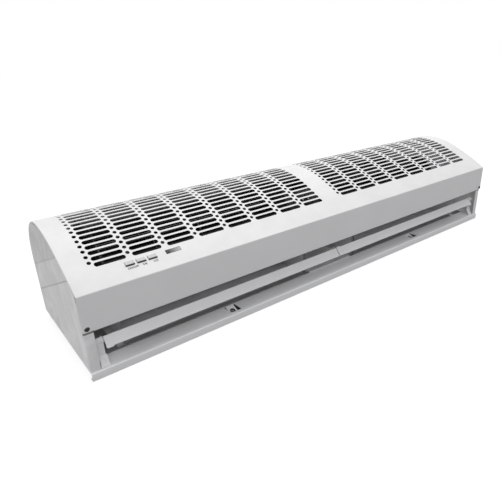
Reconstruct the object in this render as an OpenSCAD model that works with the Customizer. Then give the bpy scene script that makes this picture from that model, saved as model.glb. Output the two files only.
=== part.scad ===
// Air curtain: a long sheet-metal case with a slotted intake cover, two cross-flow fans on one
// double-shaft motor, a front outlet with two tilting vanes, and three push keys.
// It lies on its wall side: +X runs along the case, -Y is the outlet side, +Z is away from the wall.
// A cross-section is drawn in (u, z), where u is the distance back from the front face.

/* [Case] */
// Length of the case
case_len = 900; // [800:10:1200]
// Depth from the front face to the rear face
case_depth = 212; // [208:1:226]
// Height of the front face's upper edge
front_top_z = 119; // [116:1:124]
// Height of the front lip, which holds the floor off the wall
stand_off = 12; // [10:1:14]
// Thickness of the sheet steel
sheet_t = 1.2; // [0.8:0.1:1.5]
// Height of the cover's lower front edge, which is the top of the outlet
outlet_top_z = 69; // [66:1:72]
// Width of the end plates' flanges
end_flange_w = 12.7; // [11:0.1:14]
// Width of the doubled edge at each end of the cover
hem_w = 8; // [5:1:12]
// Outer radius of the fold at the top of the front lip
fold_r = 2; // [1.6:0.1:3]
// Depth of the flange that returns under the front lip
lip_return = 8; // [5:1:12]
// Depth of the fold along the top of the outlet
outlet_fold = 11; // [8:1:12]
// Depth of the hook that holds the cover's rear edge under the floor
rear_hook = 8; // [5:1:12]
// Height of the floor's rear upstand
rear_upstand = 26; // [18:1:34]

/* [Cover profile] */
// Length of the straight slope behind the front edge
slope_len = 15; // [12:1:18]
// Angle of that slope
slope_ang = 31.5; // [31:0.5:32]
// Radius of the long curve above the slope
brow_r = 500; // [480:5:520]
// Angle at which the long curve ends
brow_end_ang = 23; // [22:0.5:24]
// Radius of the curve that leads to the crest
crown_r = 170; // [160:1:180]
// Angle at which that curve ends
crown_end_ang = 3; // [1:0.5:5]

/* [Intake grille] */
// Length of a slot
slot_len = 41; // [36:1:44]
// Width of a slot
slot_w = 7; // [5:0.5:7.5]
// Distance between slots along the case
slot_pitch = 50; // [48:1:56]
// Number of slot rows
slot_rows = 16; // [8:1:17]
// Distance between rows along the curved sheet
row_pitch = 10; // [9:0.5:11]
// Distance of the first row from the front edge, along the sheet
first_row_s = 37.5; // [36:0.5:40]
// Diameter of the round holes between slots
dot_d = 5; // [3:0.5:5.5]
// Distance of a round hole from the slot on its right
dot_gap = 4.5; // [4:0.5:5]
// Width of the plain strip between the two groups of slots
centre_strip = 48; // [42:1:60]
// Sideways offset of the whole pattern
pattern_shift = 1.5; // [0:0.5:3]
// Least plain width at each end
end_margin = 30; // [24:1:32]

/* [Controls] */
// Distance of the middle key from the left end
keys_from_end = 92.5; // [80:0.5:110]
// Distance between keys
key_pitch = 15.6; // [15:0.1:17]
// Width of a key
key_w = 12.2; // [10:0.1:13]
// Length of a key along the slope
key_len = 6.4; // [5:0.1:8]
// Height of a key's front edge above the cover
key_rise = 2.2; // [2.1:0.1:3]
// Travel of a key
key_travel = 2; // [1:0.1:2]
// Distance of the keys from the front edge, along the sheet
keys_s = 25.2; // [24:0.1:26]
// Distance of the window from the left end
window_from_end = 139; // [136:0.5:160]
// Width of the window
window_w = 21.6; // [16:0.1:26]
// Height of the window
window_h = 6.2; // [5:0.1:8]

/* [Vanes] */
// Distance of a vane's outer end from the case's end
vane_inset = 25.2; // [24.8:0.1:30]
// Width of a vane
vane_w = 15.5; // [14:0.1:17]
// Tilt of a vane at rest
vane_tilt = 49.7; // [46:0.1:54]
// Distance of a vane's lower edge from the front face
vane_edge_u = 2.3; // [1.8:0.1:3]
// Height of a vane's lower edge
vane_edge_z = 38.9; // [37.5:0.1:40.5]
// Thickness of a vane
vane_t = 1; // [0.8:0.1:1.2]
// Distance of the pivot behind the vane's face
pivot_back = 5.5; // [5.2:0.1:6]
// Distance of the pivot below the vane's upper edge
pivot_down = 3; // [2.5:0.1:3.5]
// Radius of a pivot pin
pin_r = 2; // [1.5:0.1:2.2]

/* [Fans] */
// Distance of the fan axis from the front face
axis_u = 128; // [126:1:130]
// Height of the fan axis
axis_z = 88; // [86:1:90]
// Outer radius of a fan
fan_r = 48; // [44:1:49]
// Distance from a bearing plate to the case's end
end_bay = 58; // [54:1:90]
// Number of blades
blade_n = 36; // [24:1:40]
// Radial length of a blade
blade_depth = 11; // [8:0.5:13]
// Radius of the shafts
shaft_r = 4; // [3:0.5:4]

/* [Motor] */
// Half the width of the motor bay
bay_half = 62; // [60:1:66]
// Radius of the motor case
motor_r = 40; // [38:1:41]
// Half the length of the motor case
motor_half = 36; // [32:1:36]
// Radius of the stator's bore
stator_bore_r = 22.5; // [20:0.5:24]
// Half the length of the stator core
core_half = 15; // [10:1:17]

/* [Wall plate] */
// Length of the wall plate
wall_len = 760; // [680:10:780]
// Thickness of the wall plate
wall_t = 1.5; // [1.2:0.1:2]
// Distance between wall holes along the case
wall_hole_x = 600; // [560:10:640]
// Distance between wall holes across the case
wall_hole_u = 90; // [70:5:110]
// Radius of a wall hole
wall_hole_r = 3.25; // [2.5:0.25:4]

/* [Hidden] */
$fn = 48;

// Clearances shared by all fits, and the overrun of every cut
overrun = 1;
seat_clear = 0.02;
run_clear = 0.05;
air_gap = 0.3;

// Cover screws
screw_head_r = 3.5;
screw_head_h = 2.2;
screw_r = 2;
screw_len = 8;
screw_inset = 5.6;
screw_rise = 6;
recess_w = 0.8;
recess_len = 3.8;
recess_depth = 1.1;

// Frame: the box of the case and its front screw heads is centred on the origin
half_len = case_len / 2;
front_y = (screw_head_h - case_depth) / 2;

// Curves of the cover, found from the driving sizes
slope_end = [slope_len * cos(slope_ang), front_top_z + slope_len * sin(slope_ang)];
brow_c = slope_end + brow_r * [sin(slope_ang), -cos(slope_ang)];
crown_c = brow_c + (brow_r - crown_r) * [-sin(brow_end_ang), cos(brow_end_ang)];
rear_r = (case_depth - crown_c[0] + crown_r * sin(crown_end_ang)) / (1 + sin(crown_end_ang));
rear_c = crown_c + (crown_r - rear_r) * [-sin(crown_end_ang), cos(crown_end_ang)];
brow_steps = 9;
crown_steps = 8;
rear_steps = 30;
brow_arc = brow_r * (slope_ang - brow_end_ang) * PI / 180;
crown_arc = crown_r * (brow_end_ang - crown_end_ang) * PI / 180;

// Columns of slots: positions of their left ends
group_span = half_len - end_margin - pattern_shift - centre_strip / 2 - slot_len;
columns = floor(group_span / slot_pitch) + 1;
group_len = (columns - 1) * slot_pitch + slot_len;
left_group_x = pattern_shift - centre_strip / 2 - group_len;
right_group_x = pattern_shift + centre_strip / 2;
slot_starts = [for (g = [left_group_x, right_group_x], i = [0 : columns - 1]) g + i * slot_pitch];

// Keys, window, switch and their lead
key_clear = 0.3;
key_front_gap = 1.2;
key_x0 = keys_from_end - half_len;
key_rear_rise = 0.7;
key_skirt = 6;
key_stem_w = 5;
key_stem_len = 6;
switch_flange_t = 1.5;
switch_depth = 21;
switch_len_half = 8;
switch_flange_w = 3;
switch_w = 2 * key_pitch + key_w + 2 * switch_flange_w;
well_depth = key_skirt + key_travel + 0.6 * switch_flange_t;
window_x0 = window_from_end - half_len;
window_flange_w = 2;
window_flange_t = 1.2;
board_t = 1.6;
board_gap = 5;
board_leg_w = 2;
led_r = 2.5;
led_h = 3;
lead_r = 2.5;
lead_back = 3;
lead_drop = 17;
lead_x_turn = -46;
lead_z = 80;
clip_wall = 1.6;
clip_w = 8;
clip_stem_w = 4;
clip_gap = 24;
clip_first = window_x0 + window_w / 2 + window_flange_w + clip_gap;
clip_places = [clip_first, (clip_first + lead_x_turn) / 2];

// Floor: pressed ramps under the outlet and their fixing holes
ramp_ang = 23;
ramp_len = 20.5;
ramp_w = 14;
ramp_rear_u = 28;
ramp_hole_r = 4.4;
ramp_hole_at = 10.5;
window_cut_u = 20;
window_cut_w = 20;
ramp_x = case_len / 4;

// End plates: the pressed band across each plate, in shares of the plate's depth and height
band_depth = 0.5;
band_shares = [[0.975, 0.53], [0.36, 0.835], [0.15, 0.735], [0.93, 0.32]];

// Inner plates that carry the fans and close the motor bay
plate_front_u = 30;
plate_rear_gap = 14;
plate_rear_u = case_depth - plate_rear_gap;
plate_top_z = 160;
plate_crown_half = 32;
plate_shoulder = 27;
plate_foot_w = 10;
bearing_plate_t = 1.5;
fan_gap = 3;
bearing_gap = 6;
fan_x0 = bay_half + sheet_t + fan_gap;
bearing_x = half_len - end_bay;
fan_x1 = bearing_x - bearing_gap;
fan_len = fan_x1 - fan_x0;

// Air guides
tongue_gap = 3.5;
tongue_lip_h = 13.5;
tongue_z = outlet_top_z + sheet_t + air_gap;
tongue_front_u = outlet_fold + 2;
tongue_lean = 2;
scroll_gap = 5;
scroll_start_ang = 35;
scroll_end_r = axis_z - stand_off - sheet_t;
scroll_steps = 20;
scroll_front_u = plate_front_u - overrun;

// Fans
disc_t = 2;
ring_t = 1.2;
ring_n = 3;
disc_rim = 1;
ring_inner_r = fan_r - disc_rim - blade_depth - 4 * disc_rim;
blade_thick_ang = 1.3;
blade_mid_ang = 4;
blade_tip_ang = 11;
coupling_r = 16;
coupling_len = 19;
coupling_flange_r = 21;
coupling_flange_t = 2.5;
set_screw_r = 2.5;
set_screw_at = 12;
boss_r = 10;
boss_len = 14;
bulkhead_hole_r = 19;

// Bearings, 8 by 22 by 7, and their rubber bushes
bearing_r = 11;
bearing_w = 7;
bush_r = 17;
bush_seat_r = 14;
bush_w = 9;
stub_reach = 7;

// Motor
motor_wall = 1.5;
motor_end_t = 3;
motor_boss_r = 15;
motor_boss_len = 10;
motor_ear_r = 5;
motor_ear_out = 4;
motor_ear_half = 4;
bolt_r = 2;
bolt_head_r = 3.5;
bolt_head_h = 2.8;
rotor_gap = 0.5;
rotor_ring_len = 4;
rotor_ring_in = 2;
winding_len = 11;
winding_out = 5;
winding_in = 2.5;
stator_slot_n = 12;
stator_slot_w = 3;
stator_slot_depth = 8;
ring_wall = 4;
ring_w = 8;
cradle_t = 2;
cradle_half_u = 30;
cradle_plate_half = 52;
cradle_ear_t = 2;
cradle_ear_len = 10;
clamp_wall = 1.5;
clamp_w = 4;
clamp_screw_in = 4.5;
shaft_half = fan_x0 + coupling_len - disc_t;

// Electrics in the motor bay
tray_rear_u = 84;
tray_flange = 9;
cap_r = 15;
cap_half = 30;
cap_u = 36;
cap_tab_w = 6;
cap_tab_h = 7;
cap_tab_t = 0.8;
cap_clamp_w = 12;
cap_clamp_t = 1.2;
cap_foot = 5;
block_u = 68;
block_half_u = 8;
block_half_x = 30;
block_h = 14;
block_ways = 5;
block_hole_r = 2.2;

// Vane brackets
bracket_t = 1.5;
bracket_w = 11;
bracket_front_u = 2.2;
bracket_foot = 1;
bracket_knee_z = 25;
bracket_riser_u = 10.5;
bracket_shoulder_z = 46;
bracket_top_z = 52;
bracket_top_u = 17;
bracket_ear_t = 1.2;
bracket_ear_rear_u = 19;
bracket_ear_low_z = 39;
bracket_dimple_r = 1.8;
bracket_dimple_depth = 0.6;
bracket_dimple_z = 19;
vane_side_gap = 1.2;
vane_ear_t = 1.2;
vane_ear_r = 4;
vane_roll_r = 1.1;
pin_head_r = 3.4;
pin_head_h = 1.4;
washer_r = 4;
bracket_notch_w = 1.8;
bracket_notch_h = 12;
centre_half = 4;
centre_face_out = 1;
centre_web_u = 44;
centre_web_z = 32;
centre_cheek_in = 4;
centre_cheek_z = 24;
centre_foot = 10;

// Pivot of the vanes, from the vane's lower edge, its width and tilt
vane_arm = vane_w - pivot_down;
pivot_u = vane_edge_u + vane_arm * cos(vane_tilt) + pivot_back * sin(vane_tilt);
pivot_z = vane_edge_z + vane_arm * sin(vane_tilt) - pivot_back * cos(vane_tilt);
vane_outer_x = half_len - vane_inset;
vane_inner_x = centre_half + vane_side_gap;
bracket_outer_x = vane_outer_x + vane_side_gap;

// Wall plate
wall_front_u = 34;
wall_rear_gap = 26;
wall_rear_u = case_depth - wall_rear_gap;
wall_tongue_w = 30;
wall_tongue_front_u = lip_return + air_gap;
pilot_r = 2.1;

// Cable grommet in the floor
grommet_from_end = 24;
grommet_from_rear = 26;
grommet_u = case_depth - grommet_from_rear;
grommet_r = 9;
grommet_seat_r = 7;
grommet_bore_r = 4;
grommet_out = 2;

function polar(r, a) = r * [cos(a), sin(a)];
function rise(c, r, a) = c + r * [-sin(a), cos(a)];
function curve(c, r, a0, a1, n) = [for (i = [0 : n]) rise(c, r, a0 + (a1 - a0) * i / n)];

// Points of the cover's outline, moved inwards by t, from the front edge to the rear face
function outline(t, front_t) = concat(
    [[front_t, front_top_z - t / cos(slope_ang) + front_t * tan(slope_ang)]],
    curve(brow_c, brow_r - t, slope_ang, brow_end_ang, brow_steps),
    [for (i = [1 : crown_steps])
        rise(crown_c, crown_r - t, brow_end_ang + (crown_end_ang - brow_end_ang) * i / crown_steps)],
    [for (i = [1 : rear_steps])
        rise(rear_c, rear_r - t, crown_end_ang - (90 + crown_end_ang) * i / rear_steps)]);
function flipped(pts) = [for (i = [len(pts) - 1 : -1 : 0]) pts[i]];

// Place and slope angle on the cover at a distance s along the sheet
function rail(s) =
    s <= slope_len ? concat([s * cos(slope_ang), front_top_z + s * sin(slope_ang)], slope_ang) :
    s <= slope_len + brow_arc ? on_arc(brow_c, brow_r, slope_ang, s - slope_len) :
    s <= slope_len + brow_arc + crown_arc ?
        on_arc(crown_c, crown_r, brow_end_ang, s - slope_len - brow_arc) :
    on_arc(rear_c, rear_r, crown_end_ang, s - slope_len - brow_arc - crown_arc);
function on_arc(c, r, a0, s) = concat(rise(c, r, a0 - s / r * 180 / PI), a0 - s / r * 180 / PI);
function below(s, drop) = [rail(s)[0] + drop * sin(rail(s)[2]), rail(s)[1] - drop * cos(rail(s)[2])];

lead_at = below(keys_s - lead_back, lead_drop);

// Extrudes a (u, z) section along the case
module along_x(x0, x1) {
    translate([x0, front_y, 0]) rotate([90, 0, 90]) linear_extrude(height = x1 - x0) children();
}

// Stands children on the cover, with x along the case, y up the slope and z outwards
module on_cover(x, s) {
    translate([x, front_y + rail(s)[0], rail(s)[1]]) rotate([rail(s)[2], 0, 0]) children();
}

// Round bar and pipe along the case, about a line through (u, z)
module bar_at(u, z, x0, x1, r) {
    translate([x0, front_y + u, z]) rotate([0, 90, 0]) cylinder(h = x1 - x0, r = r);
}
module pipe_at(u, z, x0, x1, ro, ri) {
    difference() {
        bar_at(u, z, x0, x1, ro);
        bar_at(u, z, x0 - overrun, x1 + overrun, ri);
    }
}
module bar(x0, x1, r) {
    bar_at(axis_u, axis_z, x0, x1, r);
}
module pipe(x0, x1, ro, ri) {
    pipe_at(axis_u, axis_z, x0, x1, ro, ri);
}
module both_ends() {
    children();
    mirror([1, 0, 0]) children();
}
module box(x0, x1, u0, u1, z0, z1) {
    translate([x0, front_y + u0, z0]) cube([x1 - x0, u1 - u0, z1 - z0]);
}

// Slotted cover
module stadium(l, w) {
    translate([w / 2, -w / 2]) square([l - w, w]);
    translate([w / 2, 0]) circle(d = w);
    translate([l - w / 2, 0]) circle(d = w);
}
module slot_row(s) {
    on_cover(0, s) linear_extrude(height = 2 * (sheet_t + overrun), center = true)
        for (x = slot_starts) translate([x, 0]) stadium(slot_len, slot_w);
}
module dot_row(s) {
    on_cover(0, s) linear_extrude(height = 2 * (sheet_t + overrun), center = true)
        for (x = slot_starts) translate([x - dot_gap, 0]) circle(d = dot_d);
}
module cover_sheet() {
    along_x(-half_len, half_len) polygon(concat(
        [[0, outlet_top_z]], outline(0, 0),
        [[case_depth, stand_off - 2 * sheet_t],
            [case_depth - sheet_t - rear_hook, stand_off - 2 * sheet_t],
            [case_depth - sheet_t - rear_hook, stand_off - sheet_t],
            [case_depth - sheet_t, stand_off - sheet_t]],
        flipped(outline(sheet_t, sheet_t)), [[sheet_t, outlet_top_z]]));
}
module cover_hem() {
    both_ends() along_x(half_len - hem_w, half_len)
        polygon(concat(outline(sheet_t, sheet_t), flipped(outline(2 * sheet_t, 2 * sheet_t))));
}
module outlet_edge() {
    reach = half_len - end_flange_w - air_gap;
    box(-reach, reach, 0, outlet_fold, outlet_top_z, outlet_top_z + sheet_t);
}
module control_openings() {
    for (i = [-1 : 1]) on_cover(key_x0 + i * key_pitch, keys_s)
        translate([0, (key_clear - key_front_gap) / 2, 0])
            cube([key_w + 2 * key_clear, key_len + key_clear + key_front_gap, 2 * (sheet_t + overrun)],
                center = true);
    on_cover(window_x0, keys_s)
        cube([window_w + 2 * key_clear, window_h + 2 * key_clear, 2 * (sheet_t + overrun)], center = true);
}
module front_cover() {
    color("whitesmoke") difference() {
        union() {
            cover_sheet();
            cover_hem();
            outlet_edge();
        }
        for (i = [0 : slot_rows - 1]) slot_row(first_row_s + i * row_pitch);
        for (i = [0 : slot_rows - 2]) dot_row(first_row_s + (i + 0.5) * row_pitch);
        control_openings();
        both_ends() screw_line(-overrun, sheet_t + overrun, screw_r + air_gap);
    }
}

// Black pan-head screws at the cover's lower front corners
module screw_line(u0, u1, r) {
    translate([half_len - screw_inset, front_y + u0, outlet_top_z + screw_rise])
        rotate([-90, 0, 0]) cylinder(h = u1 - u0, r = r);
}
module pan_head(r, h) {
    dome_r = (r * r + h * h) / (2 * h);
    intersection() {
        cylinder(h = h, r = r);
        translate([0, 0, h - dome_r]) sphere(r = dome_r);
    }
}
module cover_screws() {
    color("black") both_ends() {
        screw_line(0, screw_len, screw_r);
        translate([half_len - screw_inset, front_y, outlet_top_z + screw_rise]) rotate([90, 0, 0])
            difference() {
                pan_head(screw_head_r, screw_head_h);
                translate([0, 0, screw_head_h]) {
                    cube([recess_len, recess_w, 2 * recess_depth], center = true);
                    cube([recess_w, recess_len, 2 * recess_depth], center = true);
                }
            }
    }
}

// Floor of the case, with its front lip and two pressed ramps
module ramp_place() {
    translate([0, front_y + ramp_rear_u, stand_off]) rotate([ramp_ang, 0, 0]) children();
}
module pan_section() {
    difference() {
        polygon([[0, 0], [lip_return, 0], [lip_return, sheet_t], [sheet_t, sheet_t],
            [sheet_t, stand_off - sheet_t], [case_depth - sheet_t, stand_off - sheet_t],
            [case_depth - sheet_t, stand_off + rear_upstand],
            [case_depth - 2 * sheet_t, stand_off + rear_upstand],
            [case_depth - 2 * sheet_t, stand_off], [0, stand_off]]);
        difference() {
            translate([-fold_r, stand_off - fold_r]) square(2 * fold_r);
            translate([fold_r, stand_off - fold_r]) circle(r = fold_r);
            translate([fold_r, 0]) square([fold_r, stand_off]);
        }
    }
}
module base_pan() {
    color("lightgray") {
        difference() {
            along_x(-half_len, half_len) pan_section();
            for (x = [-ramp_x, ramp_x])
                box(x - window_cut_w / 2, x + window_cut_w / 2, ramp_rear_u - window_cut_u, ramp_rear_u,
                    stand_off - sheet_t - overrun, stand_off + overrun);
            translate([half_len - grommet_from_end, front_y + grommet_u, stand_off - sheet_t - overrun])
                cylinder(h = sheet_t + 2 * overrun, r = grommet_seat_r + seat_clear);
        }
        for (x = [-ramp_x, ramp_x]) translate([x, 0, 0]) ramp_place() difference() {
            translate([-ramp_w / 2, -ramp_len, -sheet_t])
                cube([ramp_w, ramp_len + sheet_t * tan(ramp_ang), sheet_t]);
            translate([0, -ramp_hole_at, -sheet_t - overrun])
                cylinder(h = sheet_t + 2 * overrun, r = ramp_hole_r);
        }
    }
}

// End plates
module end_plate() {
    hem_in = 2 * sheet_t + air_gap;
    plate_w = case_depth - hem_in;
    difference() {
        along_x(half_len - sheet_t, half_len)
            polygon(concat([[sheet_t, stand_off]], outline(hem_in, sheet_t),
                [[case_depth - hem_in, stand_off]]));
        along_x(half_len - band_depth, half_len + overrun)
            polygon([for (p = band_shares) [p[0] * plate_w, p[1] * rear_crest_z]]);
    }
    difference() {
        box(half_len - end_flange_w, half_len, sheet_t, 2 * sheet_t, stand_off, front_top_z - hem_w);
        screw_line(-overrun, screw_len, screw_r + seat_clear);
    }
    box(half_len - end_flange_w, half_len - sheet_t / 2, 2 * sheet_t, case_depth - hem_in,
        stand_off, stand_off + sheet_t);
}
rear_crest_z = rear_c[1] + rear_r;
module end_plate_left() {
    color("gainsboro") mirror([1, 0, 0]) end_plate();
}
module end_plate_right() {
    color("gainsboro") end_plate();
}

// Plate that is screwed to the wall, behind the floor
module wall_plate() {
    color("silver") difference() {
        union() {
            box(-wall_len / 2, wall_len / 2, wall_front_u, wall_rear_u, 0, wall_t);
            for (u = [wall_front_u, wall_rear_u - wall_t])
                box(-wall_len / 2, wall_len / 2, u, u + wall_t, 0, stand_off - sheet_t);
            for (x = [-ramp_x, ramp_x])
                box(x - wall_tongue_w / 2, x + wall_tongue_w / 2, wall_tongue_front_u,
                    wall_front_u + wall_t, 0, wall_t);
        }
        for (x = [-wall_hole_x / 2, wall_hole_x / 2], u = [-wall_hole_u / 2, wall_hole_u / 2])
            translate([x, front_y + wall_mid_u + u, -overrun])
                cylinder(h = wall_t + 2 * overrun, r = wall_hole_r);
        for (x = [-ramp_x, ramp_x])
            translate([x, front_y + ramp_rear_u - ramp_hole_at, -overrun])
                cylinder(h = wall_t + 2 * overrun, r = pilot_r);
    }
}
wall_mid_u = (wall_front_u + wall_rear_u) / 2;

// Plates across the case
module cross_plate(x, t, hole_r) {
    difference() {
        along_x(x, x + t) polygon([[plate_front_u, stand_off], [plate_front_u, outlet_top_z],
            [axis_u - plate_crown_half, plate_top_z], [axis_u + plate_crown_half, plate_top_z],
            [plate_rear_u, axis_z + plate_shoulder], [plate_rear_u, stand_off]]);
        bar(x - overrun, x + t + overrun, hole_r);
    }
}
module bulkhead() {
    cross_plate(bay_half, sheet_t, bulkhead_hole_r);
    box(cradle_plate_half, bay_half + sheet_t, plate_front_u, plate_rear_u, stand_off,
        stand_off + sheet_t);
}
module bulkhead_left() {
    color("silver") mirror([1, 0, 0]) bulkhead();
}
module bulkhead_right() {
    color("silver") bulkhead();
}
module bearing_plate() {
    cross_plate(bearing_x, bearing_plate_t, bush_seat_r + seat_clear);
    box(bearing_x, bearing_x + plate_foot_w, plate_front_u, plate_rear_u, stand_off, stand_off + sheet_t);
}
module bearing_plate_left() {
    color("silver") mirror([1, 0, 0]) bearing_plate();
}
module bearing_plate_right() {
    color("silver") bearing_plate();
}

// Air guides between a bulkhead and a bearing plate
module tongue() {
    lip_u = axis_u - fan_r - tongue_gap;
    along_x(bay_half + sheet_t, bearing_x) polygon([[tongue_front_u, tongue_z],
        [lip_u - tongue_lean, tongue_z], [lip_u, tongue_z + tongue_lip_h],
        [lip_u - sheet_t, tongue_z + tongue_lip_h], [lip_u - tongue_lean - sheet_t, tongue_z + sheet_t],
        [tongue_front_u, tongue_z + sheet_t]]);
}
module tongue_left() {
    color("silver") mirror([1, 0, 0]) tongue();
}
module tongue_right() {
    color("silver") tongue();
}
function scroll_r(i) = fan_r + scroll_gap + (scroll_end_r - fan_r - scroll_gap) * i / scroll_steps;
function scroll_ang(i) = scroll_start_ang - (90 + scroll_start_ang) * i / scroll_steps;
function scroll_pt(i, t) = [axis_u, axis_z] + polar(scroll_r(i) + t, scroll_ang(i));
module scroll() {
    along_x(bay_half + sheet_t, bearing_x) polygon(concat(
        [for (i = [0 : scroll_steps]) scroll_pt(i, 0)],
        [[scroll_front_u, stand_off + sheet_t], [scroll_front_u, stand_off]],
        [for (i = [scroll_steps : -1 : 0]) scroll_pt(i, sheet_t)]));
}
module scroll_left() {
    color("dimgray") mirror([1, 0, 0]) scroll();
}
module scroll_right() {
    color("dimgray") scroll();
}

// Cross-flow fans
module blade_ring() {
    tip_r = fan_r - disc_rim;
    root_r = tip_r - blade_depth;
    mid_r = (tip_r + root_r) / 2;
    for (i = [0 : blade_n - 1]) rotate(i * 360 / blade_n) polygon([
        polar(root_r, 0), polar(mid_r, blade_mid_ang), polar(tip_r, blade_tip_ang),
        polar(tip_r, blade_tip_ang + blade_thick_ang), polar(mid_r, blade_mid_ang + blade_thick_ang),
        polar(root_r, blade_thick_ang)]);
}
module impeller() {
    span = (fan_len - disc_t) / (ring_n + 1);
    translate([fan_x0 + disc_t / 2, front_y + axis_u, axis_z]) rotate([0, 90, 0])
        linear_extrude(height = fan_len - disc_t) blade_ring();
    pipe(fan_x0, fan_x0 + disc_t, fan_r, coupling_r + run_clear);
    for (i = [1 : ring_n]) pipe(fan_x0 + i * span, fan_x0 + i * span + ring_t, fan_r, ring_inner_r);
    pipe(fan_x1 - disc_t, fan_x1, fan_r, shaft_r + seat_clear);
    pipe(fan_x1 - boss_len, fan_x1, boss_r, shaft_r + seat_clear);
}
module impeller_left() {
    color("darkslategray") mirror([1, 0, 0]) impeller();
}
module impeller_right() {
    color("darkslategray") impeller();
}
module set_screw_hole(r) {
    translate([fan_x0 + set_screw_at, front_y + axis_u, axis_z + shaft_r + seat_clear])
        cylinder(h = coupling_r - 2 * shaft_r / 3, r = r);
}
module coupling() {
    difference() {
        union() {
            bar(fan_x0 - overrun, fan_x0 + coupling_len - overrun, coupling_r);
            bar(fan_x0 + disc_t, fan_x0 + disc_t + coupling_flange_t, coupling_flange_r);
        }
        bar(fan_x0 - 2 * overrun, fan_x0 + coupling_len, shaft_r + seat_clear);
        set_screw_hole(set_screw_r + seat_clear);
    }
}
module coupling_left() {
    color("black") mirror([1, 0, 0]) coupling();
}
module coupling_right() {
    color("black") coupling();
}
module coupling_screws() {
    color("gray") both_ends()
        translate([fan_x0 + set_screw_at, front_y + axis_u, axis_z + shaft_r + seat_clear])
            cylinder(h = coupling_r - shaft_r - overrun, r = set_screw_r);
}
module stub_shafts() {
    color("gray") both_ends() bar(fan_x1 - boss_len, bearing_mid + stub_reach, shaft_r);
}
bearing_mid = bearing_x + bearing_plate_t / 2;
module end_bearings() {
    color("gray") both_ends()
        pipe(bearing_mid - bearing_w / 2, bearing_mid + bearing_w / 2, bearing_r, shaft_r + run_clear);
}
module bearing_bushes() {
    color("black") both_ends() difference() {
        pipe(bearing_mid - bush_w / 2, bearing_mid + bush_w / 2, bush_r, bearing_r + seat_clear);
        pipe(bearing_x, bearing_x + bearing_plate_t, bush_r + overrun, bush_seat_r);
    }
}

// Double-shaft motor
module motor_ear(x0, x1, r) {
    for (a = [45 : 90 : 315]) {
        ear = polar(motor_r + motor_ear_out, a);
        bar_at(axis_u + ear[0], axis_z + ear[1], x0, x1, r);
    }
}
module motor_case() {
    boss_x = motor_half + motor_boss_len;
    difference() {
        union() {
            bar(0, motor_half, motor_r);
            bar(0, boss_x, motor_boss_r);
            motor_ear(0, motor_ear_half, motor_ear_r);
        }
        bar(-overrun, motor_half - motor_end_t, motor_r - motor_wall);
        bar(-overrun, motor_half + bearing_w - motor_end_t, bearing_r + seat_clear);
        bar(-overrun, boss_x + overrun, shaft_r + overrun);
        motor_ear(-overrun, motor_ear_half + overrun, bolt_r + seat_clear);
    }
}
module motor_case_left() {
    color("silver") mirror([1, 0, 0]) motor_case();
}
module motor_case_right() {
    color("silver") motor_case();
}
module motor_bolts() {
    nut_end = motor_ear_half + bolt_head_h;
    color("gray") {
        motor_ear(-nut_end, nut_end, bolt_r);
        motor_ear(motor_ear_half, nut_end, bolt_head_r);
        motor_ear(-nut_end, -motor_ear_half, bolt_head_r);
    }
}
module stator_core() {
    color("slategray") difference() {
        pipe(-core_half, core_half, motor_r - motor_wall - seat_clear, stator_bore_r);
        for (i = [0 : stator_slot_n - 1])
            translate([0, front_y + axis_u, axis_z]) rotate([i * 360 / stator_slot_n, 0, 0])
                translate([0, 0, stator_bore_r + stator_slot_depth / 2 - overrun])
                    cube([2 * (core_half + overrun), stator_slot_w, stator_slot_depth], center = true);
    }
}
module stator_windings() {
    color("peru") both_ends() pipe(core_half, core_half + winding_len,
        motor_r - motor_wall - winding_out, stator_bore_r + winding_in);
}
module motor_rotor() {
    rotor_r = stator_bore_r - rotor_gap;
    color("lightslategray") difference() {
        union() {
            bar(-core_half, core_half, rotor_r);
            bar(-core_half - rotor_ring_len, core_half + rotor_ring_len, rotor_r - rotor_ring_in);
        }
        bar(-motor_half, motor_half, shaft_r + seat_clear);
    }
}
module motor_shaft() {
    color("silver") bar(-shaft_half, shaft_half, shaft_r);
}
module motor_bearings() {
    x0 = motor_half - motor_end_t;
    color("gray") both_ends() pipe(x0, x0 + bearing_w - seat_clear, bearing_r, shaft_r + run_clear);
}
module motor_rings() {
    x0 = motor_half + (motor_boss_len - ring_w) / 2;
    color("black") both_ends()
        pipe(x0, x0 + ring_w, motor_boss_r + ring_wall, motor_boss_r + seat_clear);
}
module motor_cradle() {
    ring_mid = motor_half + motor_boss_len / 2;
    saddle_r = motor_boss_r + ring_wall + seat_clear;
    color("silver") {
        box(-cradle_plate_half, cradle_plate_half, scroll_front_u, axis_u + cradle_half_u,
            stand_off, stand_off + cradle_t);
        both_ends() difference() {
            union() {
                box(ring_mid - cradle_t / 2, ring_mid + cradle_t / 2, axis_u - cradle_half_u,
                    axis_u + cradle_half_u, stand_off, axis_z);
                box(ring_mid - cradle_t / 2, ring_mid + cradle_ear_len, axis_u - cradle_half_u,
                    axis_u + cradle_half_u, axis_z - cradle_ear_t, axis_z);
            }
            bar(0, ring_mid + cradle_ear_len + overrun, saddle_r);
            clamp_bolts(axis_z - cradle_ear_t - overrun, cradle_ear_t + 2 * overrun, screw_r + seat_clear);
        }
    }
}
module clamp_bolts(z0, h, r) {
    ring_mid = motor_half + motor_boss_len / 2;
    for (u = [-1, 1]) translate([ring_mid + cradle_ear_len - clamp_screw_in,
        front_y + axis_u + u * (cradle_half_u - clamp_screw_in), z0]) cylinder(h = h, r = r);
}
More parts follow.
